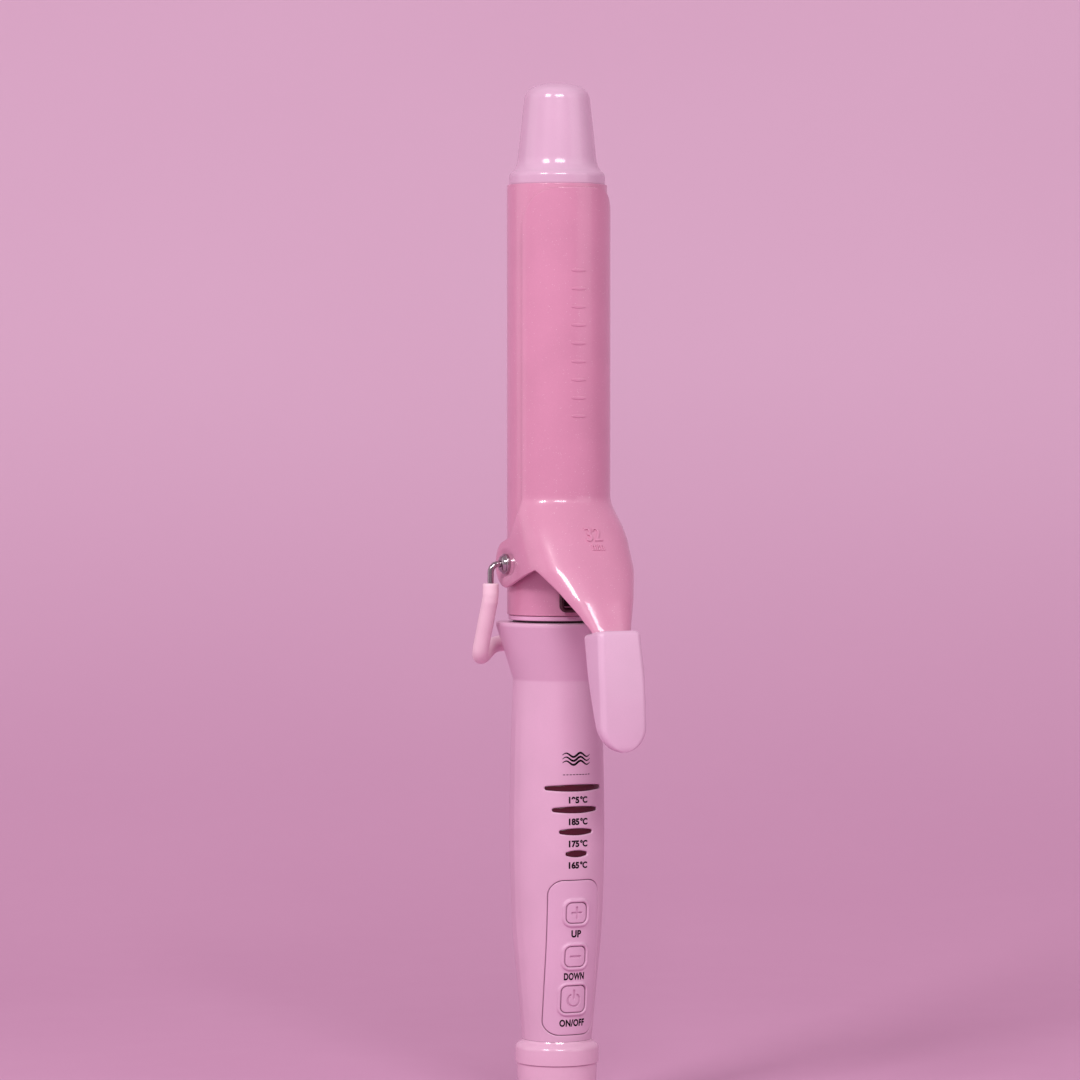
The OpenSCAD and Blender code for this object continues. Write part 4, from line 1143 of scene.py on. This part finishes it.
for name, (z, half_angle) in WINDOWS.items():
    outline = window_outline(z, half_angle, 0.0)
    patch = skin(outline, [], border_out=-0.5, spacing=0.5, extra=[(-0.1, -0.42), (-0.24, -0.4)], level=-0.4)
    pieces = join(patch, wall(outline, -0.5, (0, 1.2)))
    make(f"window_{name}_lens", pieces, "window", "wand", 40, [f"window_{name}"])


def key_outline(w, h, z, by=0.0):
    return rounded_rect(w + 2 * by, h + 2 * by, KEY_CORNER + by, z, 0.22)


def panel_mesh():
    border = rounded_rect(PANEL_W, PANEL_Z1 - PANEL_Z0, PANEL_CORNER, PANEL_MID)
    edge = [(-growth, out) for growth, out in lip(0.22)][1:]
    parts, holes = [wall(border, -0.22, (0, 0.5, 1.2))], []
    for z, w, h, bw, _ in KEYS.values():
        hole = key_outline(w, h, z, 0.15)
        reach_x = (bw - w) / 2 - 0.15
        rise = []
        for growth, out in (
            (0.0, 0.3), (0.05, 0.48), (0.14, 0.6), (0.28, 0.67), (0.45, 0.69), (0.64, 0.66),
            (0.8, 0.56), (0.92, 0.4), (1.02, 0.2), (1.14, 0.05), (1.34, 0.0),
        ):
            rise.append((growth * (reach_x + 0.5) / 1.34 * 1.05, out))
        holes.append((hole, rise))
        parts.append(wall(hole, 0.3, (0, 0.6, 2.4)))
    parts.append(skin(border, holes, border_out=-0.22, spacing=0.6, extra=edge))
    return join(*parts)


make("key_panel", panel_mesh(), "button_plastic", "wand", 38, ["control_panel"])


def bar_mark(along, across, half_length):
    """Distance outside a bar with round ends."""
    return math.hypot(max(abs(along) - half_length, 0), across) - 0.34


def plus_mark(x, z):
    return min(bar_mark(x, z, 1.5), bar_mark(z, x, 1.7))


def minus_mark(x, z):
    return bar_mark(x, z, 1.6)


def power_mark(x, z):
    """Distance outside a ring that is open at the top, with a stroke in the gap."""
    z += 0.35
    ring_r, half_gap = 2.0, math.radians(35)
    if abs(math.atan2(x, z)) > half_gap:
        ring = abs(math.hypot(x, z) - ring_r) - 0.3
    else:
        ring = math.hypot(abs(x) - ring_r * math.sin(half_gap), z - ring_r * math.cos(half_gap)) - 0.3
    return min(ring, bar_mark(z - 1.85, x, 1.2))


def key_mesh(z0, w, h, mark):
    """A key's face as a fine field of heights: a soft crown, a rounded edge and a sunk mark."""
    outline = key_outline(w, h, z0, -0.02)

    def crown(p):
        return 0.22 + 0.12 * (1 - ((p.x / w * 2) ** 2 + ((p.y - z0) / h * 2) ** 2) / 2)

    steps_x, steps_z = int(w / 0.1), int(h / 0.1)
    field = Field()
    rounding = 0.38
    for t in spaced(0, math.pi / 2, 5):
        field.loop(grown(outline, -rounding * (1 - math.cos(t))), -rounding * (1 - math.sin(t)))
    limit = Area(grown(outline, -rounding - 0.06))
    for i in range(steps_x):
        for j in range(steps_z):
            p = Vector((-w / 2 + w * (i + 0.5) / steps_x, z0 - h / 2 + h * (j + 0.5) / steps_z))
            if limit.holds(p):
                field.point(p, 0)
    points, heights, triangles = field.triangles(0)
    verts, whole = [], Area(outline)
    for p, low in zip(points, heights):
        sink = 0.55 * (1 - smooth(-0.12, 0.08, mark(p.x, p.y - z0)))
        verts.append(on_grip(unrolled(p.x, p.y), p.y, crown(p) + low - sink))
    rim = [on_grip(unrolled(p.x, p.y), p.y, crown(p) - rounding) for p in outline]
    skirt = loft([[p + Vector((0, d, 0)) for p in rim] for d in (0, 0.8, 2.6)], caps=False)
    return join((verts, [t for t, c in triangles if whole.holds(c)]), skirt)


for name, mark in (("up", plus_mark), ("down", minus_mark), ("power", power_mark)):
    z, w, h, _, _ = KEYS[name]
    key = key_mesh(z, w, h, mark)
    make(f"{name}_key_face", key, "button_plastic", f"{name}_key", 42, [f"{name}_button"])


def printed(part, z0, radius_out=0.035):
    """Lays a flat print on the front of the grip at the height z0."""
    return moved(part, lambda v: on_grip(v.x, z0 + v.y, radius_out + v.z))


def stroke(points, half_width):
    """A flat ribbon along points (x, y), for a printed line."""
    verts, faces = [], []
    for i, p in enumerate(points):
        along = (points[min(i + 1, len(points) - 1)] - points[max(i - 1, 0)]).normalized()
        w = half_width(i / (len(points) - 1)) if callable(half_width) else half_width
        side_v = Vector((-along.y, along.x)) * w
        verts += [Vector((*(p + side_v), 0)), Vector((*(p - side_v), 0))]
        if i:
            b = 2 * i
            faces.append([b - 2, b - 1, b + 1, b])
    return verts, faces


def shifted(part, x):
    return moved(part, lambda v: v + Vector((x, 0, 0)))


label_z = {"195": 102.75, "185": 95.85, "175": 88.85, "165": 82.0}
prints = []
for name, z in label_z.items():
    number = shifted(text_part(name, 2.7, weight=0.14, narrow=0.98), -1.3)
    degree = shifted(text_part("°C", 2.7, weight=0.12, narrow=0.98, spacing=0.92), 2.3)
    prints.append(printed(join(number, degree), z))
for words, z, size, narrow in (("UP", 60.1, 3.05, 0.93), ("DOWN", 46.4, 3.05, 0.78), ("ON/OFF", 31.4, 2.95, 1.0)):
    prints.append(printed(text_part(words, size, weight=0.13, narrow=narrow, spacing=1.08), z))
for k in (-1, 0, 1):
    wave = [Vector((-4.9 + 9.8 * t, 1.25 * k + 0.62 * math.sin(4 * math.pi * t))) for t in spaced(0, 1, 60)]
    prints.append(printed(stroke(wave, lambda t: 0.1 + 0.26 * math.sin(math.pi * t)), 115.9))
for i in range(9):
    bar = [Vector((-4.4 + 1.1 * i - 0.36, 0)), Vector((-4.4 + 1.1 * i + 0.36, 0))]
    prints.append(printed(stroke(bar, 0.12), 110.9))
make("printed_marks", join(*prints), "ink", "wand", 60)

# ---------------------------------------------------------------- screws, swivel collar and swivel end


def screw_mesh(z0):
    """A pan head with a plain round recess, seated at the bottom of its counterbore."""
    head = fillet([(0, 6.0, 0), (2.5, 6.0, 0), (2.5, 7.4, 0.45), (0.9, 8.0, 0.4), (0.9, 7.1, 0), (0, 7.0, 0)])
    return turned_y(revolve(head, closed=False, steps=40), z0)


heads = join(*(screw_mesh(z) for z in SCREWS))
make("shell_screw_heads", heads, "chrome", "wand", 35, ["shell_screws"])

COLLAR_LO, _ = box_mm("swivel_collar")
collar = [
    (8.5, GRIP_Z0 - 0.08, 0), (11.12, GRIP_Z0 - 0.08, 0), (11.4, 24.6, 1.5), (13.4, 23.5, 2.0),
    (13.4, COLLAR_LO.z, 0.2), (9, COLLAR_LO.z, 0), (8.5, 21, 0),
]
make("swivel_ring", revolve(fillet(collar, 8)), "swivel_plastic", "wand", 40, ["swivel_collar"])

END_TOP = COLLAR_LO.z - 0.3
end = [
    (0, 12, 0), (3.4, 12, 0), (3.4, 0, 0.3), (11.2, 0, 1.4), (12.5, 9, 6), (12.9, END_TOP + 0.18, 0.12),
    (5, END_TOP + 0.18, 0),
]
foot = revolve(fillet(end, 8), closed=False)
make("swivel_foot", foot, "swivel_plastic", "swivel", 40, ["swivel_end"])

# ---------------------------------------------------------------- stage, light and camera, in metres and watts

CAMERA_AZ, CAMERA_DIST, CAMERA_Z = -25.4, 1.4, 0.224
LIT_Z = 0.2
WALL_START, WALL_BEND = 0.3, 1.1


def see_through_from_behind(m):
    """Lets a view from behind the wall or from under the floor pass."""
    both = new_node(m.tree, "MixShader", Fac=new_node(m.tree, "NewGeometry").outputs["Backfacing"])
    feed(m.tree, both.inputs[1], m.shader.outputs["BSDF"])
    feed(m.tree, both.inputs[2], new_node(m.tree, "BsdfTransparent").outputs["BSDF"])
    feed(m.tree, m.tree.nodes["Material Output"].inputs["Surface"], both.outputs["Shader"])


def stage_material():
    m = Nodes("studio_paper")
    # painted shade and light: the paper is coloured darker on the floor and lighter up the wall, the way the lamps
    # would fall on it
    painted_height_falloff = m.ramp(new_node(m.tree, "SeparateXYZ", Vector=m.place).outputs["Z"], -0.02, 0.3, 0, 1)
    paper = m.mix(painted_height_falloff, linear(209, 158, 191), linear(231, 191, 217))
    m.set(Base_Color=m.mix(m.ramp(m.noise(3, 2), 0.3, 0.7, 0, 0.2), paper, linear(224, 178, 206)))
    m.set(Roughness=m.ramp(m.noise(40, 3), 0.3, 0.7, 0.82, 0.9))
    m.relief(m.noise(900, 3), 0.05, 0.3)
    see_through_from_behind(m)
    return m.done()


def cyclorama():
    """A pale floor that curves up into a wall a good way behind the object."""
    turn = math.radians(CAMERA_AZ)
    away = Vector((-math.sin(turn), math.cos(turn), 0))
    along = Vector((math.cos(turn), math.sin(turn), 0))
    profile = [(-3.2, 0.0), (-1.0, 0.0), (WALL_START, 0.0)]
    for t in spaced(0, math.pi / 2, 24)[1:]:
        profile.append((WALL_START + WALL_BEND * math.sin(t), WALL_BEND * (1 - math.cos(t))))
    profile += [(WALL_START + WALL_BEND, 2.4), (WALL_START + WALL_BEND, 3.6)]
    verts, faces = [], []
    for d, z in profile:
        for s in (-3.4, -1.1, 0, 1.1, 3.4):
            verts.append(away * d + along * s + Vector((0, 0, z - 0.0002)))
    for i in range(len(profile) - 1):
        for j in range(4):
            a = i * 5 + j
            faces.append([a, a + 1, a + 6, a + 5])
    mesh = bpy.data.meshes.new("studio_sweep")
    mesh.from_pydata(verts, [], faces)
    mesh.shade_smooth()
    mesh.materials.append(stage_material())
    thing = bpy.data.objects.new("studio_sweep", mesh)
    bpy.context.scene.collection.objects.link(thing)


cyclorama()

def direction(azimuth, elevation):
    a, e = math.radians(azimuth), math.radians(elevation)
    return Vector((math.sin(a) * math.cos(e), -math.cos(a) * math.cos(e), math.sin(e)))


def area(name, azimuth, elevation, distance, width, height, power, colour):
    light = bpy.data.lights.new(name, "AREA")
    light.shape = "RECTANGLE"
    light.size, light.size_y = width, height
    light.energy, light.color = power, colour
    light.spread = math.pi
    lamp = bpy.data.objects.new(name, light)
    bpy.context.scene.collection.objects.link(lamp)
    target = Vector((0, 0, LIT_Z))
    lamp.location = target + direction(azimuth, elevation) * distance
    lamp.rotation_euler = (lamp.location - target).to_track_quat("Z", "Y").to_euler()
    return lamp


WARM = (1.0, 0.97, 0.98)
area("key_left", CAMERA_AZ - 34, 35, 2.2, 0.5, 0.42, 17.6, WARM)
area("key_right", CAMERA_AZ + 9, 35, 2.2, 0.9, 0.42, 18.6, WARM)
area("fill_left", CAMERA_AZ - 88, 8, 1.8, 1.2, 1.8, 3, (1.0, 0.95, 0.98))
area("fill_right", CAMERA_AZ + 62, 22, 2.2, 1.4, 1.6, 5, WARM)

world = bpy.data.worlds.new("studio")
bpy.context.scene.world = world
world.use_nodes = True
tree = world.node_tree
dot = new_node(tree, "VectorMath")
dot.operation = "DOT_PRODUCT"
feed(tree, dot.inputs[0], new_node(tree, "TexCoord").outputs["Generated"])
feed(tree, dot.inputs[1], direction(CAMERA_AZ - 60, 48))
half_way = new_node(tree, "MapRange", From_Min=-0.9, From_Max=0.9, Value=dot.outputs["Value"])
sky = new_node(tree, "ValToRGB", Fac=half_way.outputs["Result"])
for element, colour in zip(sky.color_ramp.elements, (linear(130, 100, 118), linear(226, 206, 218))):
    element.color = (*colour, 1)
feed(tree, tree.nodes["Background"].inputs["Color"], sky.outputs["Color"])
feed(tree, tree.nodes["Background"].inputs["Strength"], 0.66)

camera = bpy.data.cameras.new("camera")
camera.sensor_width = 36
camera.lens = 146.1
lens_object = bpy.data.objects.new("camera", camera)
bpy.context.scene.collection.objects.link(lens_object)
lens_object.location = direction(CAMERA_AZ, 0) * CAMERA_DIST + Vector((0, 0, CAMERA_Z))
view_dir = -direction(CAMERA_AZ + 0.222, 1.6)
lens_object.rotation_euler = (-view_dir).to_track_quat("Z", "Y").to_euler()
camera.clip_start, camera.clip_end = 0.05, 20
bpy.context.scene.camera = lens_object
bpy.context.scene.view_settings.view_transform = "Standard"
